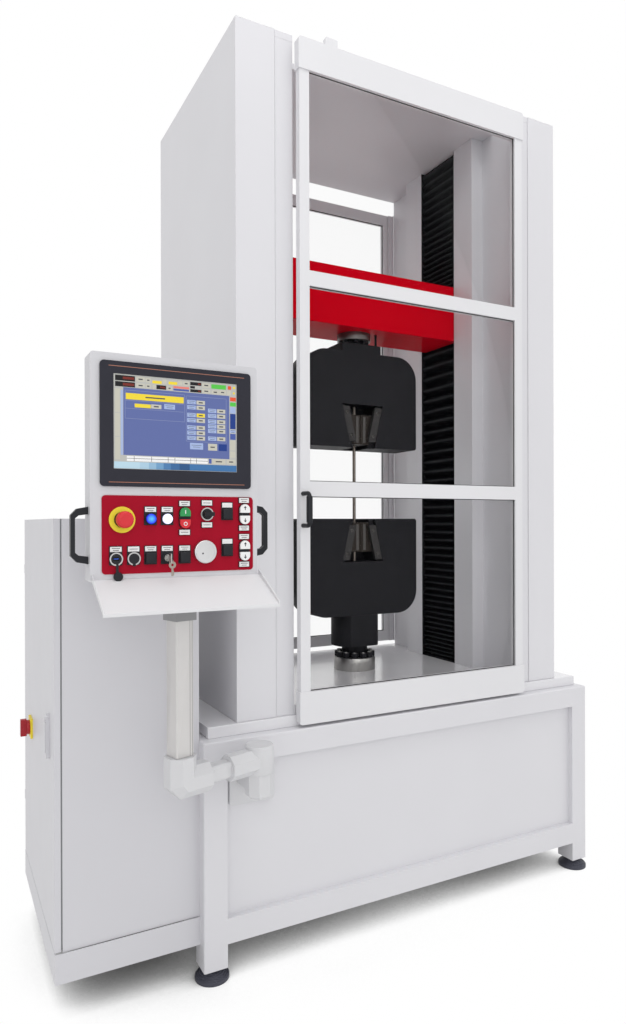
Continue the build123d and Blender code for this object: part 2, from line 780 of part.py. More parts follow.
knob += span(knob_x - 27, knob_x - 9, switch_y - 8, switch_y + 8, switch_z - 26, switch_z + 26)
nodes["main_switch_handle"] = knob

# Electrical plate with drive, supply and control modules on the cabinet's back wall
gear_x = cab_x1 - sheet
gear_t = 12
gear_y0 = cab_y0 + 53
gear_y1 = cab_y1 - 53
gear_z0 = cab_low + 63
gear_z1 = cab_top - 62
gear = [span(gear_x - gear_t, gear_x, gear_y0, gear_y1, gear_z0, gear_z1)]
module_y0 = gear_y0 + 40
module_y1 = gear_y1 - 26
drive_y1 = module_y0 + 200
supply_w = (module_y1 - drive_y1 - 60) / 2
module_top = gear_z1 - 50
for y0, y1, z0, z1, deep in (
    (module_y0, drive_y1, gear_z0 + 630, module_top, 190),
    (drive_y1 + 30, drive_y1 + 30 + supply_w, gear_z0 + 670, module_top, 150),
    (module_y1 - supply_w, module_y1, gear_z0 + 690, module_top, 120),
    (module_y0, module_y1, gear_z0 + 490, gear_z0 + 580, 70),
    (module_y0, module_y1 - 160, gear_z0 + 330, gear_z0 + 450, 90),
    (module_y1 - 130, module_y1, gear_z0 + 250, gear_z0 + 450, 130),
    (module_y0, module_y1, gear_z0 + 50, gear_z0 + 190, 110),
):
    gear.append(span(gear_x - gear_t - deep, gear_x - gear_t, y0, y1, z0, z1))
nodes["electrical_gear"] = group(*gear)


def eight_sided(width, length):
    # an upright bar with eight equal flats
    return extrude(Rot(0, 0, 22.5) * RegularPolygon(width / 2 / math.cos(math.radians(22.5)), 8), amount=length)


# Arm bracket: plate on the front infill, neck, eight-sided hub and swivel pin
hub_low = arm_low - 0.5 - hub_h
plate_y = -face_yb - 10
bracket = span(hub_x - bracket_left, hub_x + bracket_right, plate_y, -face_yb, hub_low - bracket_drop, rail_top_z - 1)
bracket = fillet(bracket.edges().filter_by(Axis.Y), 10)
bracket += span(hub_x - 26, hub_x + 26, hub_y, plate_y, hub_low + 8, arm_low - 8)
hub_body = Pos(hub_x, hub_y, hub_low) * eight_sided(2 * hub_r * math.cos(math.radians(22.5)), hub_h)
bracket += chamfer(hub_body.faces().sort_by(Axis.Z)[0].edges(), 6)
bracket += rod(hub_x, hub_y, arm_low - 2, arm_top - 30, hub_pin_d)
nodes["arm_bracket"] = bracket

# Swivel arm: drum, eight-sided socket and arm tube, drawn along -X and then turned
drum = rod(0, 0, arm_low, arm_top, drum_d)
drum = chamfer(drum.faces().sort_by(Axis.Z)[-1].edges(), 4)
lying = Rot(0, 90, 0)
socket = Pos(-socket_len, 0, arm_mid) * lying * eight_sided(socket_w, socket_len)
tube_bar = span(elbow_reach - 20 - arm_len, 10 - socket_len, -arm_tube / 2, arm_tube / 2,
                arm_mid - arm_tube / 2, arm_mid + arm_tube / 2)
tube_bar = chamfer(tube_bar.edges().filter_by(Axis.X), 6)

# The elbow turns in two mitres: upright leg, slanted piece and lying leg share their cut faces
far = 1.5 * elbow_w
lean = math.tan(math.radians(22.5))
meet = elbow_cut / (1 - lean)
low_cut = elbow_cut - lean * far


def elbow_piece(bar, *corners):
    region = slab_y([(x - arm_len, z + arm_mid) for x, z in corners], -elbow_w, elbow_w)
    return Pos(-arm_len, 0, arm_mid) * bar & region


upright = elbow_piece(Pos(0, 0, -far) * eight_sided(elbow_w, elbow_top - arm_mid + far),
                      (-far, low_cut), (meet, meet), (far, far), (far, 2 * far), (-far, 2 * far))
lying_leg = elbow_piece(Pos(-far, 0, 0) * lying * eight_sided(elbow_w, elbow_reach + far),
                        (low_cut, -far), (meet, meet), (far, far), (2 * far, far), (2 * far, -far))
slanted = elbow_piece(Pos(0, 0, elbow_cut) * Rot(0, 135, 0) * Pos(0, 0, -far) * eight_sided(elbow_w, 2 * far),
                      (low_cut, -far), (meet, meet), (-far, low_cut), (-far, -far))
arm = drum + socket + tube_bar + upright + lying_leg + slanted
arm -= rod(0, 0, arm_low - 1, arm_top - 25, hub_pin_d + 2 * run_gap)
arm -= rod(-arm_len, 0, elbow_top - 52, elbow_top + 1, post_pin_d + 2 * run_gap)
turned = Rot(0, 0, arm_angle)
nodes["swivel_arm"] = Pos(hub_x, hub_y, 0) * turned * arm

# Panel post: square tube with a pivot pin, coupling and neck, turned with the arm
post = span(-post_w / 2, post_w / 2, -post_w / 2, post_w / 2, elbow_top + 1, post_top)
post = chamfer(post.edges().filter_by(Axis.Z), 3)
post += rod(0, 0, elbow_top - 48, elbow_top + 2, post_pin_d)
half_block = coupling_w / 2
post += span(-half_block, half_block, -half_block, half_block, post_top, post_top + coupling_h)
half_neck = post_w / 2 - 2
post = turned * post + span(-half_neck, half_neck, -half_neck, half_neck, post_top + coupling_h, panel_low)
nodes["post_tube"] = Pos(post_x, post_cy, 0) * post

# Panel enclosure with back lid and sloping keyboard shelf
case = span(panel_x0, panel_x1, panel_y0, panel_y1, panel_low, panel_high)
case = fillet(case.edges().filter_by(Axis.Y), 8)
hollow_x0 = panel_x0 + sheet
hollow_x1 = panel_x1 - sheet
hollow_z0 = panel_low + sheet
hollow_z1 = panel_high - sheet
case -= span(hollow_x0, hollow_x1, panel_y0 + sheet, panel_y1 + 1, hollow_z0, hollow_z1)
lid = span(hollow_x0, hollow_x1, panel_y1 - sheet, panel_y1, hollow_z0, hollow_z1)
shelf_y = panel_y0 - shelf_reach
shelf_z = panel_low + 8
lip_z = shelf_z - shelf_drop
edge_z = lip_z + shelf_lip
shelf_x0 = panel_x0 + 3
shelf_x1 = panel_x1 + 6
shelf = slab_x(
    [(panel_y0, shelf_z), (shelf_y + 2, edge_z + 1), (shelf_y, edge_z), (shelf_y, lip_z),
     (shelf_y + sheet, lip_z), (shelf_y + sheet, edge_z - 2), (panel_y0, shelf_z - 4)],
    shelf_x0, shelf_x1,
)
side_lip = [(panel_y0, shelf_z - 4), (panel_y0, shelf_z + shelf_side), (panel_y0 - 8, shelf_z + shelf_side - 5),
            (shelf_y + 3, edge_z + shelf_side - 3), (shelf_y, edge_z + 1), (shelf_y, edge_z - 3)]
shelf += slab_x(side_lip, shelf_x0, shelf_x0 + 2.5) + slab_x(side_lip, shelf_x1 - 2.5, shelf_x1)
nodes["panel_enclosure"] = group(case, lid, shelf)

# Touch screen: bezel and glass
frame = span(bezel_x0, bezel_x1, panel_y0 - bezel_t, panel_y0, bezel_z0, bezel_z1)
frame = fillet(frame.edges().filter_by(Axis.Y), 10)
frame -= span(screen_x0, screen_x1, panel_y0 - bezel_t - 1, panel_y0 + 1, screen_z0, screen_z1)
glass = span(screen_x0, screen_x1, panel_y0 - bezel_t + 2, panel_y0, screen_z0, screen_z1)
nodes["screen_unit"] = group(frame, glass)
nodes["control_plate"] = fillet(span(cx0, cx1, face_y, panel_y0, cz0, cz1).edges().filter_by(Axis.Y), 9)

# Angular side handles
grip_out = [(0, 68), (14 - handle_reach, 63), (-handle_reach, 48), (-handle_reach, -48), (14 - handle_reach, -63),
            (0, -68), (0, -50), (18 - handle_reach, -47), (10 - handle_reach, -40), (10 - handle_reach, 40),
            (18 - handle_reach, 47), (0, 50)]
handles = []
for s, x, z in ((1, panel_x0, panel_low + 111), (-1, panel_x1, panel_low + 119)):
    handles.append(slab_y([(x + s * px, z + pz) for px, pz in grip_out], panel_y0 + 22, panel_y0 + 40))
nodes["panel_handles"] = group(*handles)


def ring_y(x, z, y0, outer_d, inner_d):
    return rod_y(x, z, y0, face_y, outer_d) - rod_y(x, z, y0 - 1, face_y, inner_d)


def on_legend(x, z, y0, outer_d):
    # a round switch body standing on its square base with the label strip above
    base = span(x - legend_w / 2, x + legend_w / 2, face_y - label_t, face_y, z - legend_low, z + legend_high)
    return base + rod_y(x, z, y0, face_y, outer_d)


def twin_half(x, middle, up, y0, y1, grow):
    # one half of a stadium, flat side towards the pair's middle
    half = twin_w / 2 + grow
    tip = twin_h / 2 + grow
    flat = middle + up * (twin_strip / 2 - grow)
    disc_z = middle + up * (tip - half)
    cap = rod_y(x, disc_z, y0, y1, 2 * half) + span(x - half, x + half, y0, y1, *sorted((flat, disc_z)))
    return cap - span(x - tip, x + tip, y0 - 1, y1 + 1, *sorted((flat, middle - up * tip)))


# Fixed switch bodies: rings on legend bases, twin frames, blanking caps, ports and label holders
fixed = []
for at, d, bore_d in ((blue_at, switch_ring_d, switch_hole_d), (key_at, cap_d, 17.6)):
    fixed.append(on_legend(*at, face_y - 6, d) - rod_y(*at, face_y - 7, face_y, bore_d))
fixed.append(ring_y(*selector_at, face_y - 5, 31, 23.6))
fixed.append(ring_y(*estop_at, face_y - 10, estop_stem_d + 14, estop_stem_d + 0.6))
fixed.append(ring_y(*estop_at, face_y - 2, estop_plate_d, estop_stem_d + 14.2))
fixed.append(on_legend(*lamp_at, face_y - 5, switch_ring_d) + rod_y(*lamp_at, face_y - 9, face_y, switch_d))
rim_w = twin_w / 2 + twin_rim
rim_h = twin_h / 2 + twin_rim - rim_w
for x, z in (twin_at, *jogs_at):
    twin = span(x - rim_w, x + rim_w, face_y - 5, face_y, z - rim_h, z + rim_h)
    for up in (1, -1):
        twin += rod_y(x, z + up * rim_h, face_y - 5, face_y, 2 * rim_w)
    for up in (1, -1):
        twin -= twin_half(x, z, up, face_y - 6, face_y, 0.4)
    fixed.append(twin)
for x, z in caps_at:
    cap = on_legend(x, z, face_y - 9, cap_d)
    fixed.append(fillet(cap.faces().sort_by(Axis.Y)[0].edges(), 2))
open_port = on_legend(*ports_at[0], face_y - 8, switch_ring_d)
open_port -= span(port_x - 7, port_x + 7, face_y - 9, face_y - 2, row_1 - 4, row_1 + 4)
fixed += [open_port, on_legend(*ports_at[1], face_y - 8, switch_ring_d)]
for x, z in labels_at:
    fixed.append(span(x - label_w / 2, x + label_w / 2, face_y - label_t, face_y, z - label_h / 2, z + label_h / 2))
nodes["switch_bezels"] = group(*fixed)

# Moving controls
cap_back = face_y - 4
cap_front = face_y - 11
mushroom = rod_y(*estop_at, face_y - 24, face_y - 7, estop_stem_d)
mushroom += fillet(rod_y(*estop_at, face_y - 42, face_y - 24, estop_d).faces().sort_by(Axis.Y)[0].edges(), 8)
nodes["estop_button"] = mushroom
nodes["reset_button"] = rod_y(*blue_at, cap_front, cap_back, switch_d)
twins = (("start_button", twin_at, 1), ("stop_button", twin_at, -1),
         ("jog_up_fast", jogs_at[0], 1), ("jog_down_fast", jogs_at[0], -1),
         ("jog_up_slow", jogs_at[1], 1), ("jog_down_slow", jogs_at[1], -1))
for name, at, up in twins:
    nodes[name] = twin_half(*at, up, cap_front, cap_back, 0)
lever = rod_y(*selector_at, face_y - 14, face_y - 0.5, 22.8)
lever += span(dial_x - 10, dial_x + 14, face_y - 22, face_y - 14, selector_at[1] - 5, selector_at[1] + 5)
nodes["mode_selector"] = lever
key = rod_y(*key_at, face_y - 9, face_y - 0.5, 16.8)
key += span(key_x - 1.5, key_x + 1.5, face_y - 20, face_y - 9, row_1 - 4, row_1 + 4)
key += span(key_x - 1.5, key_x + 1.5, face_y - 38, face_y - 20, row_1 - 11, row_1 + 11)
nodes["key_switch"] = key
dial = rod_y(*dial_at, face_y - 0.5 - dial_h, face_y - 0.5, dial_d)
nodes["speed_dial"] = fillet(dial.faces().sort_by(Axis.Y)[0].edges(), 3)

# The origin goes to the middle of the footprint at floor level
whole = Compound([solid for shape in nodes.values() for solid in shape.solids()]).bounding_box()
shift = Location((-(whole.min.X + whole.max.X) / 2, -(whole.min.Y + whole.max.Y) / 2, -whole.min.Z))
print("shift", tuple(shift.position))
for name, shape in nodes.items():
    export_step(shape.moved(shift), f"parts/{name}.step")
print(len(nodes), "nodes")
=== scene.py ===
import bmesh
import bpy
import math
from mathutils import Matrix, Vector


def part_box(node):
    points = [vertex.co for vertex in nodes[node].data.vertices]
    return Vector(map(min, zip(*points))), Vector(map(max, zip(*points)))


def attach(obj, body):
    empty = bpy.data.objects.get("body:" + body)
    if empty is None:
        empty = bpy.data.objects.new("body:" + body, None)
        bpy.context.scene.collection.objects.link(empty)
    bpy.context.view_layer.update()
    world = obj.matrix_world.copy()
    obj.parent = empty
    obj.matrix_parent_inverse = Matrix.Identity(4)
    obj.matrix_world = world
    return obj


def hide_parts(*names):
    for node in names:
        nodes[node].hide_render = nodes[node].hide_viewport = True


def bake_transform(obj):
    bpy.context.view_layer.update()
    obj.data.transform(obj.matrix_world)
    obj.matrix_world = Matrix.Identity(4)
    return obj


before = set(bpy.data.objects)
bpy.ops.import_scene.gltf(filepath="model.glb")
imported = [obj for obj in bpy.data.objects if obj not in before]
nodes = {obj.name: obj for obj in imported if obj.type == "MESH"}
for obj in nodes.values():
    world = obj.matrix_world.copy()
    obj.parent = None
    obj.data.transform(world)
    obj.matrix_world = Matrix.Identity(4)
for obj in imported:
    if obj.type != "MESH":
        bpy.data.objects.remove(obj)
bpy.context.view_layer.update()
print("frame loaded:", len(nodes), "nodes")

# everything below is measured in mm from the load axis, as on the drawing
barLow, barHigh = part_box("specimen")
axisX = (barLow.x + barHigh.x) / 2
axisY = (barLow.y + barHigh.y) / 2


def at(x, y, z):
    return Vector((axisX + x / 1000, axisY + y / 1000, z / 1000))


def spanOf(node):
    # a node's corners in mm from the load axis
    low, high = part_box(node)
    shift = Vector((axisX, axisY, 0))
    return (low - shift) * 1000, (high - shift) * 1000


class Wire:
    # a socket that can stand in a sum
    def __init__(self, tree, socket):
        self.tree = tree
        self.socket = socket

    def calc(self, operation, *values):
        node = self.tree.nodes.new("ShaderNodeMath")
        node.operation = operation
        for slot, value in zip(node.inputs, values):
            if isinstance(value, Wire):
                self.tree.links.new(value.socket, slot)
            else:
                slot.default_value = value
        return Wire(self.tree, node.outputs[0])

    def out(self, name):
        return Wire(self.tree, self.socket.node.outputs[name])

    def __add__(self, other):
        return self.calc("ADD", self, other)

    def __sub__(self, other):
        return self.calc("SUBTRACT", self, other)

    def __rsub__(self, other):
        return self.calc("SUBTRACT", other, self)

    def __mul__(self, other):
        return self.calc("MULTIPLY", self, other)

    def __pow__(self, other):
        return self.calc("POWER", self, other)

    def __lt__(self, other):
        return self.calc("LESS_THAN", self, other)

    def __gt__(self, other):
        return self.calc("GREATER_THAN", self, other)

    def __mod__(self, other):
        return self.calc("PINGPONG", self, other)

    def __abs__(self):
        return self.calc("ABSOLUTE", self)

    __radd__ = __add__
    __rmul__ = __mul__


class Finish:
    def __init__(self, name, holder=None, shader="BsdfPrincipled", end="OutputMaterial"):
        self.material = holder or bpy.data.materials.new(name)
        self.material.use_nodes = True
        self.tree = self.material.node_tree
        self.tree.nodes.clear()
        self.place = self.add("TexCoord", out="Object")
        self.shader = self.add(shader)
        self.add(end, None, {"Surface": self.shader})

    def feed(self, node, sockets):
        for name, value in sockets.items():
            if isinstance(name, int):
                slot = node.inputs[name]
            else:
                slot = next(s for s in node.inputs if s.name == name and s.enabled)
            if isinstance(value, Wire):
                self.tree.links.new(value.socket, slot)
            elif isinstance(value, (tuple, list)) and len(value) == 3 and slot.type == "RGBA":
                slot.default_value = (*value, 1)
            else:
                slot.default_value = value

    def add(self, kind, settings=None, sockets=None, out=None):
        node = self.tree.nodes.new("ShaderNode" + kind)
        for name, value in (settings or {}).items():
            setattr(node, name, value)
        self.feed(node, sockets or {})
        ends = [s for s in node.outputs if s.enabled]
        return Wire(self.tree, node.outputs[out] if out else ends[0]) if ends else None

    def noise(self, scale, detail=3, stretch=(1, 1, 1)):
        spot = self.place
        if stretch != (1, 1, 1):
            spot = self.add("Mapping", None, {"Vector": spot, "Scale": stretch})
        return self.add("TexNoise", None, {"Vector": spot, "Scale": scale, "Detail": detail}, "Fac")

    def axes(self, names):
        split = self.add("SeparateXYZ", None, {0: self.place})
        return [split.out(name) for name in names]

    def seen(self):
        # 1 for what the camera sees, straight or through gloss and glass
        path = self.add("LightPath")
        share = path.out("Is Camera Ray") + path.out("Is Glossy Ray") + path.out("Is Transmission Ray")
        return share.calc("MINIMUM", share, 1.0)

    def mix(self, factor, first, second):
        return self.add("Mix", {"data_type": "RGBA"}, {"Factor": factor, "A": first, "B": second})

    def bump(self, height, strength, distance):
        return self.add("Bump", None, {"Height": height, "Strength": strength, "Distance": distance})

    def set(self, **sockets):
        names = {"color": "Base Color", "rough": "Roughness", "metal": "Metallic", "coat": "Coat Weight",
                 "coatRough": "Coat Roughness", "normal": "Normal", "alpha": "Alpha", "glow": "Emission Color",
                 "glowPower": "Emission Strength", "spec": "Specular IOR Level"}
        self.feed(self.shader.socket.node, {names[k]: v for k, v in sockets.items()})
        return self


def tint(color, amount):
    return tuple(max(0, c * amount) for c in color)


def paintFinish(name, color, rough, coat=0.0, peel=0.12, drift=0.035, spec=0.5):
    # sprayed paint: orange peel, a slow drift of tone, dull patches
    made = Finish(name)
    slow = made.noise(2.2, 2)
    fine = made.noise(620, 2)
    cloud = made.noise(14, 4)
    tone = made.mix(slow, tint(color, 1 - drift), tint(color, 1 + drift))
    made.set(color=tone, rough=rough - 0.05 + cloud * 0.1, coat=coat, coatRough=0.12, spec=spec)
    made.set(normal=made.bump(fine, peel, 0.0004))
    return made.material


def metalFinish(name, color, rough, lines=(1, 1, 900), depth=0.12, metal=1.0, blotch=0.12, spec=0.5):
    # machined metal: tool lines across one direction, oily blotches
    made = Finish(name)
    cut = made.noise(1.0, 2, lines)
    stain = made.noise(23, 5)
    tone = made.mix(stain, tint(color, 1 - blotch), tint(color, 1 + blotch))
    made.set(color=tone, metal=metal, rough=rough - 0.08 + stain * 0.16, spec=spec)
    made.set(normal=made.bump(cut, depth, 0.0003))
    return made.material


def plasticFinish(name, color, rough, grain=1400, depth=0.1, glow=0.0, spec=0.5):
    # moulded plastic: fine grain and slightly uneven gloss
    made = Finish(name)
    spark = made.noise(grain, 2)
    cloud = made.noise(60, 3)
    tone = made.mix(cloud, tint(color, 0.93), tint(color, 1.06))
    made.set(color=tone, rough=rough - 0.06 + cloud * 0.12, spec=spec)
    made.set(normal=made.bump(spark, depth, 0.0002))
    if glow:
        made.set(glow=tone, glowPower=glow)
    return made.material


whitePaint = paintFinish("satinWhitePaint", (0.70, 0.695, 0.722), 0.42)
# painted shade: the cabinet takes a darker copy of the white paint
cabinetPaint = paintFinish("cabinetShadedPaint", (0.635, 0.63, 0.66), 0.42)
framePaint = paintFinish("doorFrameCoat", (0.735, 0.732, 0.752), 0.36, peel=0.06)
tablePaint = paintFinish("glossTablePaint", (0.745, 0.74, 0.765), 0.22, coat=0.6, peel=0.05)
redPaint = paintFinish("glossRedPaint", (0.60, 0.0, 0.009), 0.3, peel=0.06, spec=0.012)
crimsonPaint = paintFinish("crimsonPlate", (0.36, 0.006, 0.022), 0.4, peel=0.1, spec=0.06)
shellCoat = paintFinish("armShellCoat", (0.66, 0.66, 0.675), 0.5, peel=0.16, spec=0.3)
oxideSteel = metalFinish("blackOxideSteel", (0.018, 0.018, 0.021), 0.55, (3, 3, 260), 0.10, 0.2, 0.3, 0.12)
plateSteel = metalFinish("sidePlateSteel", (0.050, 0.048, 0.048), 0.5, (3, 3, 400), 0.10, 0.3, 0.3, 0.2)
jawSteel = metalFinish("oiledJawSteel", (0.03, 0.024, 0.02), 0.42, (2, 2, 900), 0.45, 0.5, 0.35, 0.25)
turnedSteel = metalFinish("turnedSteel", (0.46, 0.45, 0.435), 0.34, (2, 2, 700), 0.16)
cellSteel = metalFinish("darkCellSteel", (0.17, 0.16, 0.155), 0.36, (2, 2, 700), 0.2, 0.8)
dialSteel = metalFinish("spunDial", (0.66, 0.66, 0.665), 0.3, (400, 400, 400), 0.05)
screwSteel = metalFinish("socketScrew", (0.085, 0.080, 0.076), 0.36, (300, 300, 300), 0.05, 0.6)
keySteel = metalFinish("keySteel", (0.36, 0.32, 0.28), 0.36, (300, 300, 300), 0.06)
barSteel = metalFinish("groundBarSteel", (0.22, 0.19, 0.165), 0.34, (2, 2, 1500), 0.1, 0.8)
zincSteel = metalFinish("zincSteel", (0.50, 0.50, 0.50), 0.3, (300, 300, 300), 0.05)
blackPlastic = plasticFinish("blackPlastic", (0.014, 0.015, 0.019), 0.42, spec=0.25)
footRubber = plasticFinish("footRubber", (0.062, 0.064, 0.085), 0.5, 500, 0.25, spec=0.3)
signalRed = plasticFinish("signalRed", (0.66, 0.03, 0.04), 0.34, spec=0.3)
switchRed = plasticFinish("switchRed", (0.40, 0.022, 0.032), 0.36, spec=0.3)
signalGreen = plasticFinish("signalGreen", (0.03, 0.30, 0.09), 0.34, spec=0.3)
signalYellow = plasticFinish("signalYellow", (0.88, 0.70, 0.05), 0.4, spec=0.2)
buttonWhite = plasticFinish("whiteButton", (0.85, 0.85, 0.85), 0.32)
labelWhite = plasticFinish("labelCard", (0.80, 0.80, 0.80), 0.5)
inkGrey = plasticFinish("inkMark", (0.06, 0.06, 0.07), 0.6, spec=0.2)
gasketBlack = plasticFinish("paneGasket", (0.010, 0.010, 0.011), 0.6, spec=0.15)
portBlue = plasticFinish("portBlue", (0.02, 0.10, 0.62), 0.4)
slotGrey = plasticFinish("slotGrey", (0.36, 0.35, 0.345), 0.55)
moduleGrey = plasticFinish("moduleCase", (0.28, 0.29, 0.30), 0.5)
copperLine = plasticFinish("copperLine", (0.42, 0.17, 0.11), 0.45)


def paneFinish():
    # clear sheet: nearly all alpha, with gloss at a glance and faint wipe marks
    made = Finish("clearPane")
    wipe = made.noise(3.5, 3, (1, 1, 0.25))
    edge = made.add("Fresnel", None, {"IOR": 1.45})
    made.set(color=(0.008, 0.009, 0.010), rough=0.03 + wipe * 0.03, alpha=0.006 + edge * 0.14 + wipe * 0.006)
    return made.material


bellowsFolds = {"near": 399.5, "far": 414.0, "halfWidth": 104.0, "thick": 1.2, "soft": 1.6}  # mm


def bellowsFinish():
    # coated cloth, dull black, with a fine weave; the outer crests of the folds are painted grey as a painted
    # highlight, broken up by a noise that also varies the gloss
    made = Finish("bellowsCloth")
    x, y, z = made.axes("XYZ")
    weave = (y * 1500 % 1.0) * (z * 1500 % 1.0) + (x * 900 % 1.0) * 0.2
    scuffAndSheen = made.noise(9, 4, (1, 1, 5))
    crest = (bellowsFolds["far"] / 1000 - abs(x - axisX)) * (1000 / (bellowsFolds["far"] - bellowsFolds["near"]))
    # painted highlight: the outer crests of the folds are lighter, as if lit
    litCrests = crest.calc("MAXIMUM", crest, 0.0) ** 5 * (0.6 + scuffAndSheen * 0.8)
    cloth = made.mix(litCrests, (0.0010, 0.0010, 0.0018), (0.034, 0.035, 0.038))
    made.set(color=cloth, rough=0.5 + scuffAndSheen * 0.15, spec=0.0)
    made.set(normal=made.bump(weave, 0.06, 0.0002))
    return made.material


def slateFinish():
    # dark front of the touch screen
    made = Finish("slateBezel")
    cloud = made.noise(30, 3)
    slate = (0.032, 0.032, 0.042)
    made.set(color=made.mix(cloud, tint(slate, 0.92), tint(slate, 1.08)), rough=0.38 + cloud * 0.08, spec=0.10)
    made.set(normal=made.bump(made.noise(1800, 2), 0.05, 0.0002))
    return made.material


def lensFinish(name, middle, rim, core):
    # lit lens, brighter towards its middle
    made = Finish(name)
    x, z = made.axes("XZ")
    reach = ((x - middle.x) ** 2 + (z - middle.z) ** 2) ** 0.5 * 80
    shown = made.mix(reach.calc("MINIMUM", reach * 1.1, 1.0), core, rim)
    made.set(color=shown, rough=0.18 + reach * 0.05, glow=shown, glowPower=0.75)
    return made.material


bands = {"clampBlock": 1.0488, "shelf": 1.158}  # heights in m where a finish changes


def postFinish():
    # drawn tube, with the grey clamp block above it
    made = Finish("armTubeMetal")
    block = made.axes("Z")[0] > bands["clampBlock"]
    stain = made.noise(23, 5)
    bare = made.mix(stain, (0.62, 0.605, 0.595), (0.68, 0.665, 0.655))
    made.set(color=made.mix(block, bare, (0.27, 0.27, 0.275)), metal=0.3 - block * 0.3, rough=0.36 + stain * 0.12)
    made.set(normal=made.bump(made.noise(1.0, 2, (900, 900, 2)), 0.06, 0.0003))
    return made.material


def panelFinish():
    # light grey enclosure; the shelf below it is painted whiter as painted light from above
    made = Finish("enclosureCoat")
    shelf = made.axes("Z")[0] < bands["shelf"]
    slow = made.noise(3.0, 2)
    grey = made.mix(slow, (0.60, 0.597, 0.622), (0.635, 0.632, 0.658))
    # painted light: the shelf's whiter tone stands in for light falling from above
    white = made.mix(slow, (0.72, 0.72, 0.735), (0.75, 0.75, 0.765))
    made.set(color=made.mix(shelf, grey, white), rough=0.38 + made.noise(14, 4) * 0.1)
    made.set(normal=made.bump(made.noise(620, 2), 0.12, 0.0004))
    return made.material


def screenFinish():
    # lit picture: painted per face, with faint rows of the display
    made = Finish("litPicture")
    paint = made.add("Attribute", {"attribute_name": "paint"}, None, "Color")
    row = made.axes("Z")[0] * 900 % 1.0
    shown = made.mix(row * 0.12, paint, (0.02, 0.02, 0.02))
    made.set(color=shown, rough=0.3 + row * 0.05, glow=shown, glowPower=0.45, spec=0.3)
    return made.material


clearPane = paneFinish()
tubeCoat = postFinish()
panelCoat = panelFinish()
litPicture = screenFinish()
resetMiddle = sum(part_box("reset_button"), Vector()) / 2
litBlue = lensFinish("litBlueLens", resetMiddle, (0.002, 0.008, 0.52), (0.06, 0.36, 1.0))
bellowsCloth = bellowsFinish()
slateBezel = slateFinish()
print("finishes made")

coats = {
    whitePaint: "base_frame base_panels column_covers column_inner_covers top_plate door_fittings",
    cabinetPaint: "cabinet_body cabinet_door",
    panelCoat: "panel_enclosure",
    tablePaint: "table_plate",
    framePaint: "front_door_frame rear_door_frame",
    shellCoat: "arm_bracket swivel_arm",
    tubeCoat: "post_tube",
    redPaint: "crosshead_beam",
    crimsonPaint: "control_plate",
    oxideSteel: "upper_grip_body lower_grip_body grip_post grip_adapter",
    plateSteel: "upper_jaw_plates lower_jaw_plates",
    jawSteel: "upper_left_jaw upper_right_jaw lower_left_jaw lower_right_jaw",
    cellSteel: "load_cell",
    turnedSteel: "lower_flange guide_posts left_ball_screw right_ball_screw screw_bearings crosshead_nuts "
                 "motor_pulley key_switch",
    dialSteel: "speed_dial",
    barSteel: "specimen",
    footRubber: "levelling_feet drive_belt",
    clearPane: "front_door_panes rear_door_pane",
    blackPlastic: "front_door_handle panel_handles switch_bezels mode_selector servo_motor",
    slateBezel: "screen_unit",
    moduleGrey: "electrical_gear",
    signalRed: "estop_button stop_button",
    switchRed: "main_switch_handle",
    signalGreen: "start_button",
    litBlue: "reset_button",
    buttonWhite: "jog_up_fast jog_down_fast jog_up_slow jog_down_slow",
    bellowsCloth: "upper_bellows lower_bellows",
}
for coat, names in coats.items():
    for name in names.split():
        mesh = nodes[name].data
        mesh.materials.clear()
        mesh.materials.append(coat)

softEdges = {  # mm of rounding on the sheet and machined edges
    "column_covers": 2.0, "column_inner_covers": 1.2, "top_plate": 1.0, "crosshead_beam": 2.5, "table_plate": 2.0,
    "upper_grip_body": 1.5, "lower_grip_body": 1.5, "upper_jaw_plates": 0.7, "lower_jaw_plates": 0.7,
    "upper_left_jaw": 0.6, "upper_right_jaw": 0.6, "lower_left_jaw": 0.6, "lower_right_jaw": 0.6,
    "front_door_frame": 1.2, "rear_door_frame": 1.2, "cabinet_body": 1.5, "cabinet_door": 1.5,
    "panel_enclosure": 1.2, "swivel_arm": 2.0, "arm_bracket": 2.0, "grip_post": 1.0, "grip_adapter": 1.0,
    "load_cell": 0.8, "lower_flange": 0.8, "panel_handles": 1.0, "screen_unit": 0.6, "start_button": 1.2,
    "stop_button": 1.2, "jog_up_fast": 1.2, "jog_down_fast": 1.2, "jog_up_slow": 1.2, "jog_down_slow": 1.2,
    "switch_bezels": 0.5, "mode_selector": 0.8, "main_switch_handle": 1.5, "electrical_gear": 2.0, "post_tube": 1.0,
}
for name, width in softEdges.items():
    piece = nodes[name]
    weld = piece.modifiers.new("weld", "WELD")
    weld.merge_threshold = 0.00001
    edge = piece.modifiers.new("softEdge", "BEVEL")
    edge.width = width / 1000
    edge.segments = 2
    edge.limit_method = "ANGLE"
    edge.angle_limit = math.radians(32)
    edge.harden_normals = True
print("nodes dressed")

axisTurns = {
    "X": Matrix.Rotation(math.pi / 2, 3, "Y"), "Y": Matrix.Rotation(-math.pi / 2, 3, "X"), "Z": Matrix.Identity(3),
}


def slab(bm, x0, x1, y0, y1, z0, z1, soft=0.0, steps=2):
    # a box in drawing mm with rounded edges
    middle = at((x0 + x1) / 2, (y0 + y1) / 2, (z0 + z1) / 2)
    size = Matrix.Diagonal((abs(x1 - x0) / 1000, abs(y1 - y0) / 1000, abs(z1 - z0) / 1000, 1))
    made = bmesh.ops.create_cube(bm, size=1, matrix=Matrix.Translation(middle) @ size)["verts"]
    if soft:
        edges = list({e for v in made for e in v.link_edges})
        bmesh.ops.bevel(bm, geom=edges, offset=soft / 1000, segments=steps, affect="EDGES", profile=0.5, material=-1)


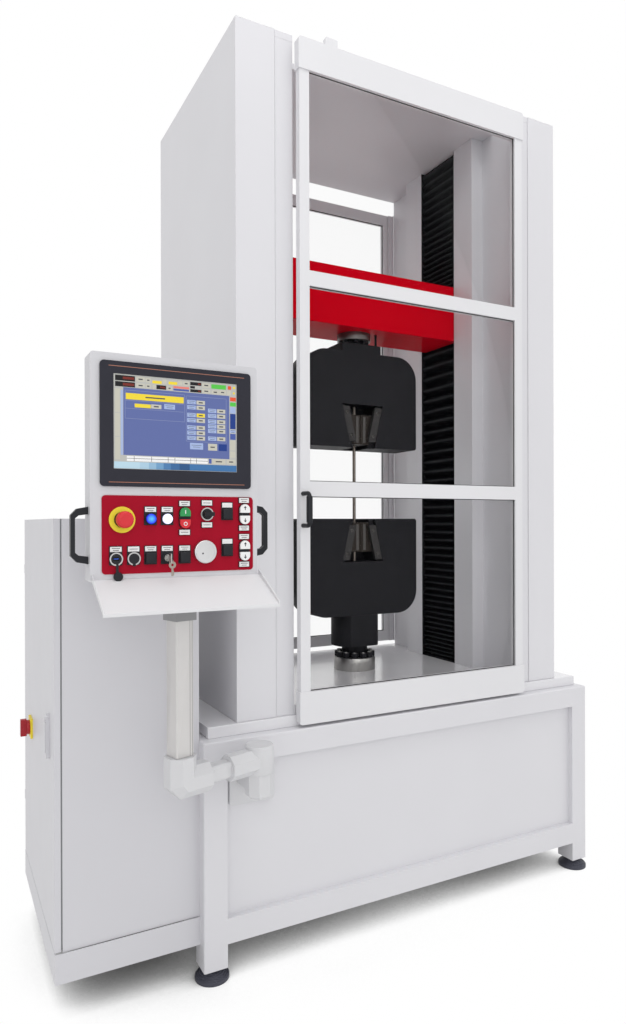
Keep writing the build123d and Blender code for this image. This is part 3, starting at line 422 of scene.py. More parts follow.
def slabAt(bm, spot, box, soft=0.0, steps=2):
    # a box by its reach from a spot, two values each along X, Y and Z
    x, y, z = spot
    x0, x1, y0, y1, z0, z1 = box
    slab(bm, x + x0, x + x1, y + y0, y + y1, z + z0, z + z1, soft, steps)


def outline(bm, points, y0, y1):
    # a flat XZ outline pulled along Y
    face = bm.faces.new([bm.verts.new(at(x, y0, z)) for x, z in points])
    pulled = bmesh.ops.extrude_face_region(bm, geom=[face])["geom"]
    moved = [v for v in pulled if isinstance(v, bmesh.types.BMVert)]
    bmesh.ops.translate(bm, verts=moved, vec=(0, (y1 - y0) / 1000, 0))


def spun(bm, x, y, z, profile, axis="Y", sides=40):
    # a closed outline of (radius, height) points turned fully round an axis
    turn = axisTurns[axis]
    ring = [bm.verts.new(at(x, y, z) + turn @ Vector((r / 1000, 0, h / 1000))) for r, h in profile]
    edges = [bm.edges.new((ring[k - 1], ring[k])) for k in range(len(ring))]
    bmesh.ops.spin(bm, geom=ring + edges, cent=at(x, y, z), axis=turn @ Vector((0, 0, 1)), angle=2 * math.pi,
                   steps=sides, use_merge=True)
    bmesh.ops.dissolve_degenerate(bm, dist=1e-7, edges=bm.edges[:])


def washer(bm, x, y, z, inner, outer, thick, lip=0.0):
    # a flat ring standing out to the front, with a lip round both front edges
    edge = lip - thick
    spun(bm, x, y, z, [(inner, 0), (outer, 0), (outer, edge), (outer + lip, -thick), (inner - lip, -thick),
                       (inner, edge)])


def hoop(bm, x, y, z, radius, wire, axis="Y"):
    # a round wire bent to a ring
    turns = [k * math.pi / 4 for k in range(8)]
    spun(bm, x, y, z, [(radius + wire * math.cos(turn), wire * math.sin(turn)) for turn in turns], axis)


def finishPiece(name, bm, body, coat, smooth=30, closed=True):
    if closed:
        bmesh.ops.recalc_face_normals(bm, faces=bm.faces[:])
    mesh = bpy.data.meshes.new(name)
    bm.to_mesh(mesh)
    bm.free()
    if smooth:
        mesh.shade_smooth()
        mesh.set_sharp_from_angle(angle=math.radians(smooth))
    mesh.materials.append(coat)
    piece = bpy.data.objects.new(name, mesh)
    bpy.context.scene.collection.objects.link(piece)
    if body:
        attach(piece, body)
    return piece


# bellows: pleats that lie closer together towards the table
bellowsRuns = {
    "upper": {"fixed": spanOf("upper_bellows")[1].z, "moving": spanOf("upper_bellows")[0].z,
              "firstPitch": 38.0, "lastPitch": 15.0},
    "lower": {"fixed": spanOf("lower_bellows")[0].z, "moving": spanOf("lower_bellows")[1].z,
              "firstPitch": 12.0, "lastPitch": 48.0},
}


def pleatHeights(run):
    # heights of the crests from the fixed end, with the pitch growing evenly
    reach = abs(run["moving"] - run["fixed"])
    count = round(reach / ((run["firstPitch"] + run["lastPitch"]) / 2))
    raw = [run["firstPitch"] + (run["lastPitch"] - run["firstPitch"]) * k / max(1, count - 1) for k in range(count)]
    scale = reach / sum(raw)
    return [pitch * scale for pitch in raw]


def makeBellows(level, side):
    run = bellowsRuns[level]
    rise = 1 if run["moving"] > run["fixed"] else -1
    near, far, half = (bellowsFolds[k] for k in ("near", "far", "halfWidth"))
    bm = bmesh.new()
    ends = [bm.verts.new(at(side * far, y, run["fixed"])) for y in (-half, half)]
    edge = bm.edges.new(ends)
    developed = 0.0
    for pitch in pleatHeights(run):
        for step in (near - far, far - near):
            pulled = bmesh.ops.extrude_edge_only(bm, edges=[edge])["geom"]
            moved = [v for v in pulled if isinstance(v, bmesh.types.BMVert)]
            edge = next(e for e in pulled if isinstance(e, bmesh.types.BMEdge))
            bmesh.ops.translate(bm, verts=moved, vec=(side * step / 1000, 0, rise * pitch / 2000))
            developed += math.hypot(step, pitch / 2)
    creases = [e for e in bm.edges if abs(e.verts[0].co.z - e.verts[1].co.z) < 1e-6 and len(e.link_faces) == 2]
    bmesh.ops.bevel(bm, geom=creases, offset=bellowsFolds["soft"] / 1000, segments=2, affect="EDGES", profile=0.5,
                    material=-1)
    word = "right" if side > 0 else "left"
    piece = finishPiece(f"{level}Bellows_{word}", bm, None, bellowsCloth, 60)
    wall = piece.modifiers.new("wall", "SOLIDIFY")
    wall.thickness = bellowsFolds["thick"] / 1000
    wall.offset = 0
    at(side * near, 0, run["fixed"])
    at(side * near, 0, run["moving"])
    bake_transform(piece)
    return piece


for level in bellowsRuns:
    for side in (-1, 1):
        strip = makeBellows(level, side)
        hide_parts(f"{level}_bellows")
print("bellows folded")

# control plate: columns and rows in mm from its lower left corner
plateLow = spanOf("control_plate")[0]
face = plateLow.y
columns = {"port": 32, "port2": 74, "cap": 115, "key": 156, "start": 200, "dial": 258, "spare": 312, "jog": 358}
rows = {"low": 36, "high": 131}


def spotOf(column, row, lift=0.0):
    return plateLow.x + columns[column], plateLow.z + rows[row] + lift


def middleOf(node):
    low, high = spanOf(node)
    return (low + high) / 2


cards = {
    "legendWide": 27.0, "legendTall": 12.0, "legendLift": 22.9, "wide": 26.6, "tall": 12.4, "thick": 0.4, "strip": 2.5,
    "soft": 0.15, "ink": 0.06, "strokeHalf": 0.7, "strokePitch": 4.8, "strokeReach": 0.36, "strokeStep": 0.10,
}
# column, row, lift and number of strokes
legends = [("port", "low", 0, 2), ("port2", "low", 0, 1), ("cap", "low", 0, 2), ("key", "low", 0, 2),
           ("start", "low", 0, 2), ("cap", "high", 0, 2), ("key", "high", 0, 2), ("spare", "high", 12, 0),
           ("spare", "low", 15, 0)]
tags = [("start", "high", 38.0, 2), ("start", "high", -33.0, 1), ("dial", "high", 40.0, 1), ("dial", "high", -15.0, 1),
        ("jog", "high", 47.5, 2), ("jog", "high", -23.5, 2), ("jog", "low", 49.5, 2), ("jog", "low", -21.5, 2)]


def makeCards():
    # blank cards, some with plain strokes where the labels are
    card = bmesh.new()
    ink = bmesh.new()
    back = face - cards["strip"]
    front = back - cards["thick"]
    thin = cards["strokeHalf"]
    sorts = ((legends, cards["legendWide"], cards["legendTall"], cards["legendLift"]),
             (tags, cards["wide"], cards["tall"], 0))
    for group, wide, tall, rise in sorts:
        for column, row, lift, strokes in group:
            x, z = spotOf(column, row, lift + rise)
            slab(card, x - wide / 2, x + wide / 2, front, back, z - tall / 2, z + tall / 2, cards["soft"], 1)
            for k in range(strokes):
                level = z + (cards["strokePitch"] * (0.5 - k) if strokes > 1 else 0)
                reach = wide * (cards["strokeReach"] - cards["strokeStep"] * k)
                slab(ink, x - reach, x + reach, front - cards["ink"], front, level - thin, level + thin)
    finishPiece("labelCards", card, "panel", labelWhite)
    finishPiece("labelStrokes", ink, "panel", inkGrey)


symbols = {
    "arrow": [(-4.2, 0.5), (0, 5.6), (4.2, 0.5), (1.1, 0.5), (1.1, -5), (-1.1, -5), (-1.1, 0.5)], "arrowLift": 1.0,
    "arrowThick": 0.12, "stroke": (-1.2, 1.2, -0.15, 0, -4.5, 4.5), "ring": (3.2, 5.0, 0.15),
    "ways": {"jog_up_fast": 1, "jog_down_fast": -1, "jog_up_slow": 1, "jog_down_slow": -1},
}


def makeArrow(node, up):
    # arrow on a travel button
    spot, front = middleOf(node), spanOf(node)[0].y
    z = spot.z + up * symbols["arrowLift"]
    bm = bmesh.new()
    outline(bm, [(spot.x + x, z + up * h) for x, h in symbols["arrow"]], front - symbols["arrowThick"], front)
    finishPiece(f"{node}_arrow", bm, node, inkGrey, smooth=0)


def makeSymbols():
    for node, up in symbols["ways"].items():
        makeArrow(node, up)
    bm = bmesh.new()
    spot, front = middleOf("start_button"), spanOf("start_button")[0].y
    slabAt(bm, (spot.x, front, spot.z), symbols["stroke"])
    finishPiece("startStroke", bm, "start_button", labelWhite, smooth=0)
    bm = bmesh.new()
    spot, front = middleOf("stop_button"), spanOf("stop_button")[0].y
    washer(bm, spot.x, front, spot.z, *symbols["ring"])
    finishPiece("stopRing", bm, "stop_button", labelWhite)


rings = {  # column, row, lift: inner and outer radius, start in front of the plate, thickness
    "selectorRing": ("dial", "high", 12.0, 14.3, 16.0, 4.0, 1.6),
    "firstPortRing": ("port", "low", 0.0, 13.2, 15.1, 5.4, 3.2),
    "secondPortRing": ("port2", "low", 0.0, 13.2, 15.1, 5.4, 3.2),
}
ringLip = 0.6
stopDisc = {"inner": 19.3, "outer": 30.7, "start": 1.6, "thick": 1.2, "lip": 0.5}
lampLens = {"start": 4.8, "shape": [(0, 0), (12.3, 0), (12.3, -4.2), (11.0, -5.8), (6, -6.9), (0, -7.2)],
            "rim": (0.70, 0.72, 1.0), "core": (1.0, 1.0, 1.0)}
resetLens = {"start": 9.7, "shape": [(0, 0), (12.3, 0), (12.3, -1.4), (11.0, -2.8), (6, -3.7), (0, -4.0)]}


def makeRings():
    for name, (column, row, lift, inner, outer, start, thick) in rings.items():
        x, z = spotOf(column, row, lift)
        bm = bmesh.new()
        washer(bm, x, face - start, z, inner, outer, thick, ringLip)
        finishPiece(name, bm, "panel", zincSteel)
    stop = middleOf("estop_button")
    bm = bmesh.new()
    washer(bm, stop.x, face - stopDisc["start"], stop.z, stopDisc["inner"], stopDisc["outer"], stopDisc["thick"],
           stopDisc["lip"])
    finishPiece("stopDisc", bm, "panel", signalYellow)
    x, z = spotOf("key", "high")
    bm = bmesh.new()
    spun(bm, x, face - lampLens["start"], z, lampLens["shape"])
    litWhite = lensFinish("litWhiteLens", at(x, 0, z), lampLens["rim"], lampLens["core"])
    finishPiece("lampLens", bm, "panel", litWhite)
    spot = middleOf("reset_button")
    bm = bmesh.new()
    spun(bm, spot.x, face - resetLens["start"], spot.z, resetLens["shape"])
    finishPiece("resetLens", bm, "reset_button", litBlue)


ports = {  # mm from the port's middle on the plate
    "tongue": (-5.6, 5.6, -7.6, -2.0, -0.6, 1.6), "strap": (-1.0, 5.4, -8.8, -7.2, -34, -11.5),
    "hungAt": (5, -1.5, -42), "hung": [(0, 0), (10.5, 0), (11, -0.6), (11, -6), (10, -7.2), (0, -7.6)],
    "pull": (2.5, 8.5, -6.5, -3.5, -57, -50),
    "lidStart": 7.6, "lid": [(0, 0), (12.4, 0), (12.4, -2.4), (11.2, -3.6), (0, -3.9)],
    "latch": (-3.4, 3.4, -11.0, -9.2, -18, -9), "blank": (-13.2, 13.2, -10.2, -2.2, -13.2, 13.2),
    "blanks": (("cap", "low", 0), ("start", "low", 0), ("spare", "low", 15), ("spare", "high", 12)),
}


def makePorts():
    # tongue of the open port, its cap hanging on a strap, the second port's lid and the blanking caps
    x, z = spotOf("port", "low")
    bm = bmesh.new()
    slabAt(bm, (x, face, z), ports["tongue"], 0.2, 1)
    finishPiece("portTongue", bm, "panel", portBlue)
    bm = bmesh.new()
    slabAt(bm, (x, face, z), ports["strap"], 0.5, 1)
    hungX, hungY, hungZ = ports["hungAt"]
    spun(bm, x + hungX, face + hungY, z + hungZ, ports["hung"])
    slabAt(bm, (x, face, z), ports["pull"], 0.8)
    x, z = spotOf("port2", "low")
    spun(bm, x, face - ports["lidStart"], z, ports["lid"])
    slabAt(bm, (x, face, z), ports["latch"], 0.8)
    for column, row, lift in ports["blanks"]:
        x, z = spotOf(column, row, lift)
        slabAt(bm, (x, face, z), ports["blank"], 3.2, 3)
    finishPiece("portCaps", bm, "panel", blackPlastic)


keys = {  # mm from the lock's middle, this far in front of the plate
    "front": 33, "ring": (1.2, -8.0, 4.6, 0.7), "bowAt": (3.6, -1, -16),
    "bow": [(3.0, 0), (8.8, 0), (8.8, 2), (3.0, 2)],
    "blade": (1.2, 6.0, -1, 1, -43, -24.5), "teeth": (5.8, 7.4, -0.8, 0.8, -41, -30),
}


def makeKey():
    # second key on a ring through the first
    x, z = spotOf("key", "low")
    y = face - keys["front"]
    bm = bmesh.new()
    ringX, ringZ, radius, wire = keys["ring"]
    hoop(bm, x + ringX, y, z + ringZ, radius, wire)
    bowX, bowY, bowZ = keys["bowAt"]
    spun(bm, x + bowX, y + bowY, z + bowZ, keys["bow"])
    slabAt(bm, (x, y, z), keys["blade"], 0.4, 1)
    slabAt(bm, (x, y, z), keys["teeth"], 0.3, 1)
    finishPiece("hangingKey", bm, "key_switch", keySteel)


dial = {"rim": (22.5, 25.5, 1.0, 0.4), "rimSunk": 0.4, "markAt": (-8, 0.1, -4),
        "mark": [(0, 0), (2.2, 0), (2.2, -0.3), (1.8, -0.5), (0, -0.5)]}


def makeDial():
    spot, front = middleOf("speed_dial"), spanOf("speed_dial")[0].y
    bm = bmesh.new()
    washer(bm, spot.x, front + dial["rimSunk"], spot.z, *dial["rim"])
    finishPiece("dialRim", bm, "speed_dial", dialSteel)
    bm = bmesh.new()
    markX, markY, markZ = dial["markAt"]
    spun(bm, spot.x + markX, front + markY, spot.z + markZ, dial["mark"], sides=20)
    finishPiece("dialMark", bm, "speed_dial", inkGrey)


makeCards()
makeSymbols()
makeRings()
makePorts()
makeKey()
makeDial()
print("control plate dressed")

# touch screen: the picture's fields in mm from the glass's lower left corner, back to front
bezelLow, bezelHigh = spanOf("screen_unit")
screen = {"left": bezelLow.x + 31.5, "foot": bezelLow.z + 42, "front": bezelLow.y + 2, "thick": 0.1}
fieldTones = {
    "backing": (0.36, 0.36, 0.34), "panel": (0.081, 0.108, 0.268), "black": (0.002, 0.002, 0.003),
    "beige": (0.41, 0.4, 0.34), "yellow": (0.64, 0.5, 0.03), "salmon": (0.58, 0.15, 0.125),
    "blue": (0.05, 0.08, 0.27), "green": (0.07, 0.41, 0.05), "red": (0.58, 0.068, 0.02), "sky": (0.27, 0.34, 0.53),
    "deep": (0.006, 0.03, 0.175), "white": (0.64, 0.64, 0.64), "rule": (0.17, 0.2, 0.34), "ink": (0.05, 0.05, 0.06),
    "digits": (0.13, 0.014, 0.008),
}
fields = {  # left, foot, right, top
    "backing": [(0, 0, 311, 225)],
    "panel": [(23, 33, 291, 194)],
    "black": [(4, 209, 51, 222), (4, 195, 51, 207), (103, 196, 127, 206), (188, 213, 217, 221), (188, 205, 200, 211),
              (188, 196, 217, 203)],
    "beige": [(54, 210, 75, 222), (54, 196, 75, 206), (77, 210, 89, 221), (77, 196, 89, 206), (118, 210, 128, 221),
              (157, 210, 168, 221), (170, 210, 185, 221), (94, 196, 101, 206), (130, 196, 141, 205),
              (219, 210, 240, 221), (219, 196, 240, 206), (244, 196, 263, 205), (264, 196, 282, 207),
              (285, 196, 296, 208), (90, 148, 115, 158), (245, 19, 280, 32), (234, 53, 258, 70), (293, 56, 307, 81),
              (293, 37, 307, 53), (284, 20, 307, 32), (3, 134, 15, 190), (3, 77, 15, 132), (3, 22, 15, 75)],
    "yellow": [(93, 209, 116, 216), (133, 210, 155, 217), (29, 166, 171, 181), (50, 148, 89, 157),
               (301, 213, 307, 218), (301, 199, 306, 204), (204.4, 134.4, 225.6, 143.6)],
    "salmon": [(145, 202, 185, 207)],
    "blue": [(145, 196, 185, 201), (236, 20, 243, 32), (293, 83, 308, 98)],
    "green": [(243, 209, 282, 220), (293, 168, 309, 178)],
    "red": [(287, 210, 296, 219), (293, 181, 309, 191)],
    "sky": [(122, 149, 149, 161), (187, 54, 221, 70), (293, 150, 308, 166), (293, 100, 308, 108), (17, 33, 22, 187)],
    "deep": [(262, 53, 284, 70), (293, 110, 308, 149)],
    "white": [(31, 19, 233, 31)],
    "rule": [(27, 120, 174, 121), (28, 144, 171, 145), (28, 163, 171, 164), (27, 187, 174, 188), (27, 120, 28, 188),
             (173, 120, 174, 188), (177, 73, 178, 186), (282, 73, 283, 186), (177, 73, 283, 74),
             (177, 185, 283, 186)],
    "ink": [(48, 19, 49, 31), (90, 19, 91, 31), (131, 19, 132, 31), (148, 19, 149, 31), (188, 19, 189, 31),
            (203, 19, 204, 31), (31, 25, 233, 26), (76, 172, 124, 175)],
    "digits": [(22, 213, 49, 219), (22, 198, 49, 204), (208, 215, 215, 219), (208, 198, 215, 201),
               (112, 199, 125, 203)],
}
tides = {  # bands of the picture's foot
    "low": 1, "high": 17, "edges": (1, 62, 84, 102, 120, 138, 160, 186, 310),
    "tones": ((0.36, 0.5, 0.58), (0.3, 0.44, 0.54), (0.21, 0.35, 0.48), (0.12, 0.25, 0.41), (0.055, 0.15, 0.31),
              (0.03, 0.1, 0.24), (0.016, 0.065, 0.17), (0.035, 0.125, 0.29)),
}
pairRows = {180: (166, 153, 134, 121, 103, 90, 77), 234: (148, 135, 121, 109, 97, 78)}  # left edge: feet of the rows
lifts = {"backing": 0.0, "panel": 0.06, "yellow": 0.15, "ink": 0.2, "digits": 0.2, "other": 0.12}  # mm
fieldStrokes = {  # plain strokes on each key and caption: levels from its middle, half lengths as shares, half height
    "beige": {"levels": (0,), "reach": (0.24,), "half": 1.5},
    "sky": {"levels": (2.2, -2.2), "reach": (0.38, 0.28), "half": 0.45},
}
keySize = {"wide": 22, "tall": 10, "pitch": 24}
bezelLines = {"left": 20, "right": 18, "low": 10, "high": 12, "half": 0.7, "thick": 0.25}


def makePicture():
    wide, tall, pitch = (keySize[k] for k in ("wide", "tall", "pitch"))
    for left, feet in pairRows.items():
        for low in feet:
            fields["sky"].append((left, low, left + wide, low + tall))
            fields["beige"].append((left + pitch, low, left + pitch + wide, low + tall))
    for name, marks in fieldStrokes.items():
        for x0, z0, x1, z1 in fields[name]:
            if x1 - x0 > z1 - z0:
                for level, share in zip(marks["levels"], marks["reach"]):
                    x, z, reach = (x0 + x1) / 2, (z0 + z1) / 2 + level, (x1 - x0) * share
                    fields["ink"].append((x - reach, z - marks["half"], x + reach, z + marks["half"]))
    for k, tone in enumerate(tides["tones"]):
        fieldTones[f"tide{k}"] = tone
        fields[f"tide{k}"] = [(tides["edges"][k], tides["low"], tides["edges"][k + 1], tides["high"])]
    bm = bmesh.new()
    paint = bm.loops.layers.float_color.new("paint")
    for name, boxes in fields.items():
        front = screen["front"] - lifts.get(name, lifts["other"])
        for x0, z0, x1, z1 in boxes:
            before = set(bm.faces)
            slab(bm, screen["left"] + x0, screen["left"] + x1, front - screen["thick"], front,
                 screen["foot"] + z0, screen["foot"] + z1)
            for side in set(bm.faces) - before:
                for corner in side.loops:
                    corner[paint] = (*fieldTones[name], 1)
    finishPiece("screenPicture", bm, "panel", litPicture, smooth=0)
    bm = bmesh.new()
    for level in (bezelLow.z + bezelLines["low"], bezelHigh.z - bezelLines["high"]):
        slab(bm, bezelLow.x + bezelLines["left"], bezelHigh.x - bezelLines["right"], bezelLow.y - bezelLines["thick"],
             bezelLow.y, level - bezelLines["half"], level + bezelLines["half"])
    finishPiece("bezelLines", bm, "panel", copperLine, smooth=0)


makePicture()
print("screen lit")

# post: two slots down its front face, turned with the arm
post = {"turn": math.radians(15.3), "slots": (13.5, 20.0), "wide": 1.8, "face": 25.0, "proud": 0.15, "sunk": 0.3,
        "from": 49, "long": 339}


def makePostSlots():
    middle = middleOf("post_tube")
    low = spanOf("post_tube")[0].z + post["from"]
    front = middle.y - post["face"]
    bm = bmesh.new()
    for x in post["slots"]:
        slab(bm, middle.x + x - post["wide"] / 2, middle.x + x + post["wide"] / 2, front - post["proud"],
             front + post["sunk"], low, low + post["long"])
    turn = Matrix.Rotation(post["turn"], 3, "Z")
    bmesh.ops.rotate(bm, cent=at(middle.x, middle.y, 0), matrix=turn, verts=bm.verts[:])
    finishPiece("postSlots", bm, "panel", slotGrey, smooth=0)


makePostSlots()

# doors: black seals round the panes
panes = {"half": 410.0, "levels": ((784, 1371), (1417, 2006), (2052, 2652)), "seal": 2.2, "rearSeal": 3.0, "deep": 3,
         "soft": 0.8}


def sealRound(bm, x0, x1, y, z0, z1, seal):
    for x in (x0, x1 - seal):
        slab(bm, x, x + seal, y - panes["deep"], y, z0, z1, panes["soft"], 1)
    for z in (z0, z1 - seal):
        slab(bm, x0 + seal, x1 - seal, y - panes["deep"], y, z, z + seal, panes["soft"], 1)


def makeSeals():
    paneY = spanOf("front_door_panes")[0].y
    bm = bmesh.new()
    for low, high in panes["levels"]:
        sealRound(bm, -panes["half"], panes["half"], paneY, low, high, panes["seal"])
    finishPiece("frontSeals", bm, "front_door", gasketBlack)
    low, high = spanOf("rear_door_pane")
    bm = bmesh.new()
    sealRound(bm, low.x, high.x, low.y, low.z, high.z, panes["rearSeal"])
    finishPiece("rearSeals", bm, "rear_door", gasketBlack)


# jambs: flat strips behind the columns that close the gap beside the rear door
jambs = {"near": 422.0, "leftFar": 444.0, "far": 446.5, "front": 386.0, "back": 396.5, "thick": 3, "soft": 0.6}


def makeJambs():
    low, high = spanOf("rear_door_frame")
    near, far, back, thick = (jambs[k] for k in ("near", "far", "back", "thick"))
    bm = bmesh.new()
    for x0, x1, y0 in ((-jambs["leftFar"], -near, back - thick), (near, far, back - thick),
                       (far - thick, far, jambs["front"])):
        slab(bm, x0, x1, y0, back, low.z, high.z, jambs["soft"], 1)
    finishPiece("rearJambs", bm, "frame", whitePaint)


# a thicker grip on the bow handle
sleeve = {"radius": 9.4, "soft": 2.5, "inset": 14.0, "back": 6.5}


def makeSleeve():
    low, high = spanOf("front_door_handle")
    radius, soft = sleeve["radius"], sleeve["soft"]
    reach = high.z - low.z - 2 * sleeve["inset"]
    shape = [(0, 0), (radius - soft, 0), (radius, soft), (radius, reach - soft), (radius - soft, reach), (0, reach)]
    bm = bmesh.new()
    spun(bm, (low.x + high.x) / 2, low.y + sleeve["back"], low.z + sleeve["inset"], shape, "Z", 28)
    finishPiece("handleSleeve", bm, "front_door", blackPlastic)


makeSeals()
makeJambs()
makeSleeve()

cabinet = {  # mm from the switch's back, from the lock's foot on the door, and behind the door's free edge
    "switchPlate": (0.15, 6.5, -30.6, 30.6, -30.6, 30.6), "lockX": -2.5, "lockY": 90, "lockZ": 480,
    "lever": (-3, 1, -6, 6, 14, 96), "barrelX": -3.5, "barrelZ": 104, "barrel": [(0, 0), (5.5, 0), (5.5, 4), (0, 4)],
    "sealX": (0.6, 5), "sealY": (9, 15), "sealTrim": 4,
}


def makeCabinetBits():
    # yellow plate under the main switch, the lock's lever in its plate, and the seal behind the door's free edge
    switch = middleOf("main_switch_handle")
    backX = spanOf("main_switch_handle")[1].x
    bm = bmesh.new()
    slabAt(bm, (backX, switch.y, switch.z), cabinet["switchPlate"], 0.25, 1)
    finishPiece("switchPlate", bm, "cabinet_leaf", signalYellow)
    doorLow, doorHigh = spanOf("cabinet_door")
    lockX, lockY, lockZ = backX + cabinet["lockX"], doorLow.y + cabinet["lockY"], doorLow.z + cabinet["lockZ"]
    bm = bmesh.new()
    slabAt(bm, (lockX, lockY, lockZ), cabinet["lever"], 2.4)
    spun(bm, lockX + cabinet["barrelX"], lockY, lockZ + cabinet["barrelZ"], cabinet["barrel"], "X", 24)
    finishPiece("lockLever", bm, "cabinet_leaf", cabinetPaint)
    bodyLow = spanOf("cabinet_body")[0]
    x0, x1 = (doorHigh.x + reach for reach in cabinet["sealX"])
    y0, y1 = (bodyLow.y + reach for reach in cabinet["sealY"])
    bm = bmesh.new()
    slab(bm, x0, x1, y0, y1, doorLow.z + cabinet["sealTrim"], doorHigh.z - cabinet["sealTrim"], 0.5, 1)
    finishPiece("cabinetSeal", bm, "frame", moduleGrey)


makeCabinetBits()

# feet: raised ribs round the sloping top
foot = {"x": 715.0, "y": 398.0, "ribs": ((45.0, 11.8), (39.5, 15.5), (34.0, 19.3), (28.5, 23.0)), "wire": 1.5}


def makeFootRibs():
    bm = bmesh.new()
    for x in (-foot["x"], foot["x"]):
        for y in (-foot["y"], foot["y"]):
            for radius, z in foot["ribs"]:
                hoop(bm, x, y, z, radius, foot["wire"], "Z")
    finishPiece("footRibs", bm, "frame", footRubber)


makeFootRibs()

# black screw heads under the load cell and on the lower flange
cell = {"ring": 48.0, "count": 8, "first": 22.5, "sides": 20,
        "shape": [(2.6, 3), (4.2, 0), (7.2, 0), (7.8, 0.6), (7.8, 10.4), (0, 10.4), (0, 3)]}
flange = {"ring": 64.0, "count": 12, "first": 0, "sides": 24,
          "shape": [(0, 0), (11.8, 0), (11.8, 19.5), (11.0, 20.3), (6.4, 20.3), (5.8, 11), (0, 11)]}


def makeScrewRing(name, body, facts, z):
    bm = bmesh.new()
    for k in range(facts["count"]):
        turn = math.radians(facts["first"] + 360 / facts["count"] * k)
        x, y = facts["ring"] * math.cos(turn), facts["ring"] * math.sin(turn)
        spun(bm, x, y, z, facts["shape"], "Z", facts["sides"])
    finishPiece(name, bm, body, oxideSteel)


makeScrewRing("cellScrews", "crosshead", cell, spanOf("load_cell")[0].z - 0.3)

# socket screws on the side plates and inserts on the jaws; heights are from each grip's mouth
grips = {
    "upper": {"mouth": spanOf("upper_grip_body")[0].z, "up": 1, "body": "crosshead"},
    "lower": {"mouth": spanOf("lower_grip_body")[1].z, "up": -1, "body": "frame"},
}
clamp = {
    "screws": (44, 130), "half": 52, "slope": 0.225, "inset": 15, "front": -59,
    "insert": (9.5, 20.5), "span": (20, 118), "proud": 1.6, "sunk": 0.2,
    "head": [(0, 0), (6.3, 0), (6.3, -3.2), (5.5, -4.0), (3.5, -4.0), (3.2, -1), (0, -1)],
}


def makeClampBits():
    near, far = clamp["insert"]
    for level, grip in grips.items():
        bm = bmesh.new()
        for side in (-1, 1):
            for rise in clamp["screws"]:
                x = side * (clamp["half"] + clamp["slope"] * rise - clamp["inset"])
                spun(bm, x, clamp["front"], grip["mouth"] + grip["up"] * rise, clamp["head"], sides=24)
        finishPiece(f"{level}PlateScrews", bm, grip["body"], screwSteel)
        z0, z1 = sorted(grip["mouth"] + grip["up"] * rise for rise in clamp["span"])
        for word, x0, x1 in (("left", -far, -near), ("right", near, far)):
            jaw = f"{level}_{word}_jaw"
            jawY = spanOf(jaw)[0].y
            bm = bmesh.new()
            slab(bm, x0, x1, jawY - clamp["proud"], jawY + clamp["sunk"], z0, z1, 0.5, 1)
            finishPiece(f"{jaw}_insert", bm, jaw, screwSteel)


makeClampBits()
makeScrewRing("flangeScrews", "frame", flange, spanOf("lower_flange")[1].z - 20)

# dark side curtains behind the ends of the bellows
curtain = {"near": 395.2, "far": 416.0, "edge": 105.2, "thick": 0.6}


def makeCurtains():
    bm = bmesh.new()
    low, high = spanOf("lower_bellows")[0].z, spanOf("upper_bellows")[1].z
    for side in (-1, 1):
        for y in (-curtain["edge"], curtain["edge"] - curtain["thick"]):
            slab(bm, *sorted((side * curtain["near"], side * curtain["far"])), y, y + curtain["thick"], low, high)
    finishPiece("bellowsCurtains", bm, "frame", gasketBlack, smooth=0)


makeCurtains()
print("small pieces made")

stage = {
    "floorHalf": 14.0, "floorTones": ((0.86, 0.86, 0.86), (0.88, 0.88, 0.88)), "shade": (0.10, 0.10, 0.095),
    "shadowReach": 0.9, "shadowGain": 1.75, "ambient": 0.88, "lean": 0.16,
}


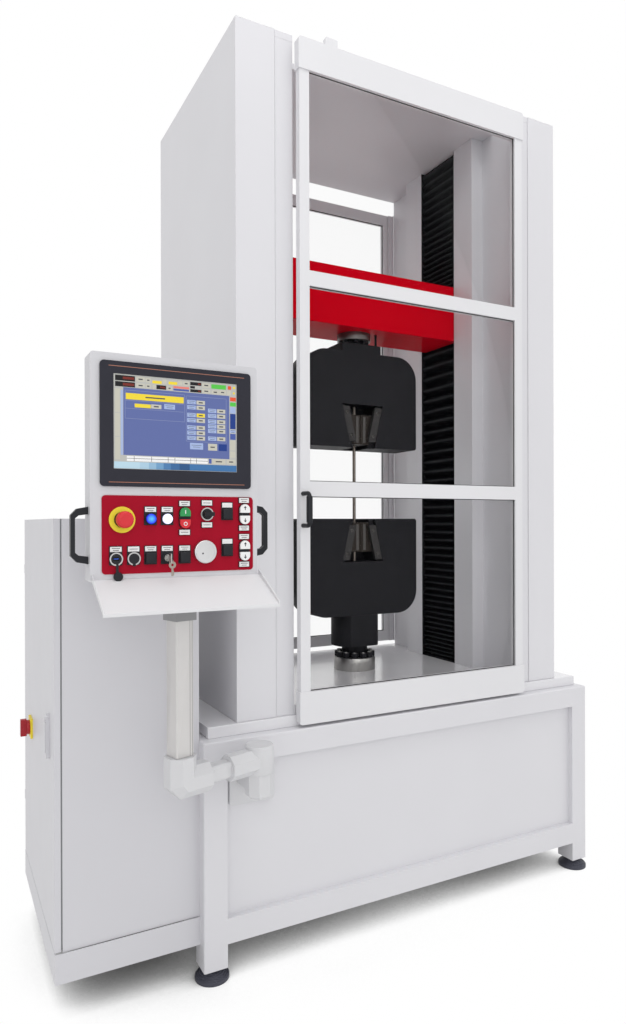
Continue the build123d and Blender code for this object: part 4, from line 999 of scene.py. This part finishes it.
def makeStage():
    bm = bmesh.new()
    bmesh.ops.create_grid(bm, x_segments=1, y_segments=1, size=stage["floorHalf"])
    made = Finish("paleFloor", shader="MixShader")
    # 0 close under the machine, 1 away from it; close under the machine the floor's colour goes to the shade tone, a
    # painted contact shadow
    clear = made.add("AmbientOcclusion", {"samples": 16}, {"Distance": stage["shadowReach"]}, "AO")
    clear = clear.calc("MINIMUM", clear * stage["shadowGain"], 1.0) ** 2
    shown = made.mix(clear, stage["shade"], made.mix(made.noise(1.5, 2), *stage["floorTones"]))
    matte = made.add("BsdfPrincipled", None, {"Base Color": shown, "Roughness": 0.9, "Specular IOR Level": 0.0})
    glow = made.add("Emission", None, {"Color": (1, 1, 1), "Strength": 1.0})
    made.feed(made.shader.socket.node, {0: made.seen() * clear, 1: matte, 2: glow})
    floor = finishPiece("floor", bm, None, made.material, closed=False)
    world = bpy.data.worlds.new("studio")
    bpy.context.scene.world = world
    sky = Finish("studio", world, "Background", "OutputWorld")
    east = sky.add("SeparateXYZ", None, {0: sky.add("TexCoord", None, None, "Generated")}).out("X")
    level = (1 + east * stage["lean"]) * stage["ambient"]  # a little dimmer from the left
    sky.feed(sky.shader.socket.node, {"Color": (1, 1, 1), "Strength": sky.seen() * (1 - level) + level})


lamps = {  # place and aim in m, size in m, power in W
    "key": {"spot": (-2.2, -4.4, 3.4), "aim": (0.0, 0.0, 1.4), "size": 2.4, "power": 15},
    "fill": {"spot": (3.4, -3.8, 2.6), "aim": (0.1, 0.0, 1.3), "size": 3.0, "power": 2},
    "low": {"spot": (-1.2, -4.4, 1.5), "aim": (0.3, 0.0, 1.6), "size": 2.0, "power": 9},
    "top": {"spot": (-0.4, -1.2, 5.0), "aim": (-0.2, -0.2, 0.0), "size": 2.6, "power": 38},
}


def makeLamps():
    for name, facts in lamps.items():
        light = bpy.data.lights.new(name, "AREA")
        light.shape = "DISK"
        light.size = facts["size"]
        light.energy = facts["power"]
        lamp = bpy.data.objects.new(name, light)
        lamp.location = facts["spot"]
        lamp.rotation_mode = "QUATERNION"
        lamp.rotation_quaternion = (Vector(facts["aim"]) - Vector(facts["spot"])).to_track_quat("-Z", "Y")
        bpy.context.scene.collection.objects.link(lamp)


photoView = {"spot": (-1409.2, -2341.3, 1291.9), "yaw": 0.4845, "pitch": -0.0010, "roll": -0.0026,
             "lens": 25.231, "sensor": 36.0, "shiftY": 0.0111}  # spot in mm, turns in radians


def makeCamera():
    lens = bpy.data.cameras.new("photoCamera")
    lens.lens = photoView["lens"]
    lens.sensor_width = photoView["sensor"]
    lens.shift_y = photoView["shiftY"]
    lens.clip_start, lens.clip_end = 0.05, 100
    camera = bpy.data.objects.new("photoCamera", lens)
    camera.location = at(*photoView["spot"])
    turn = Matrix.Rotation(-photoView["yaw"], 3, "Z") @ Matrix.Rotation(math.pi / 2 + photoView["pitch"], 3, "X")
    camera.rotation_euler = (turn @ Matrix.Rotation(photoView["roll"], 3, "Z")).to_euler()
    bpy.context.scene.collection.objects.link(camera)
    bpy.context.scene.camera = camera


makeStage()
makeLamps()
makeCamera()
bpy.context.scene.view_settings.view_transform = "Standard"
print("stage, lamps and camera set")
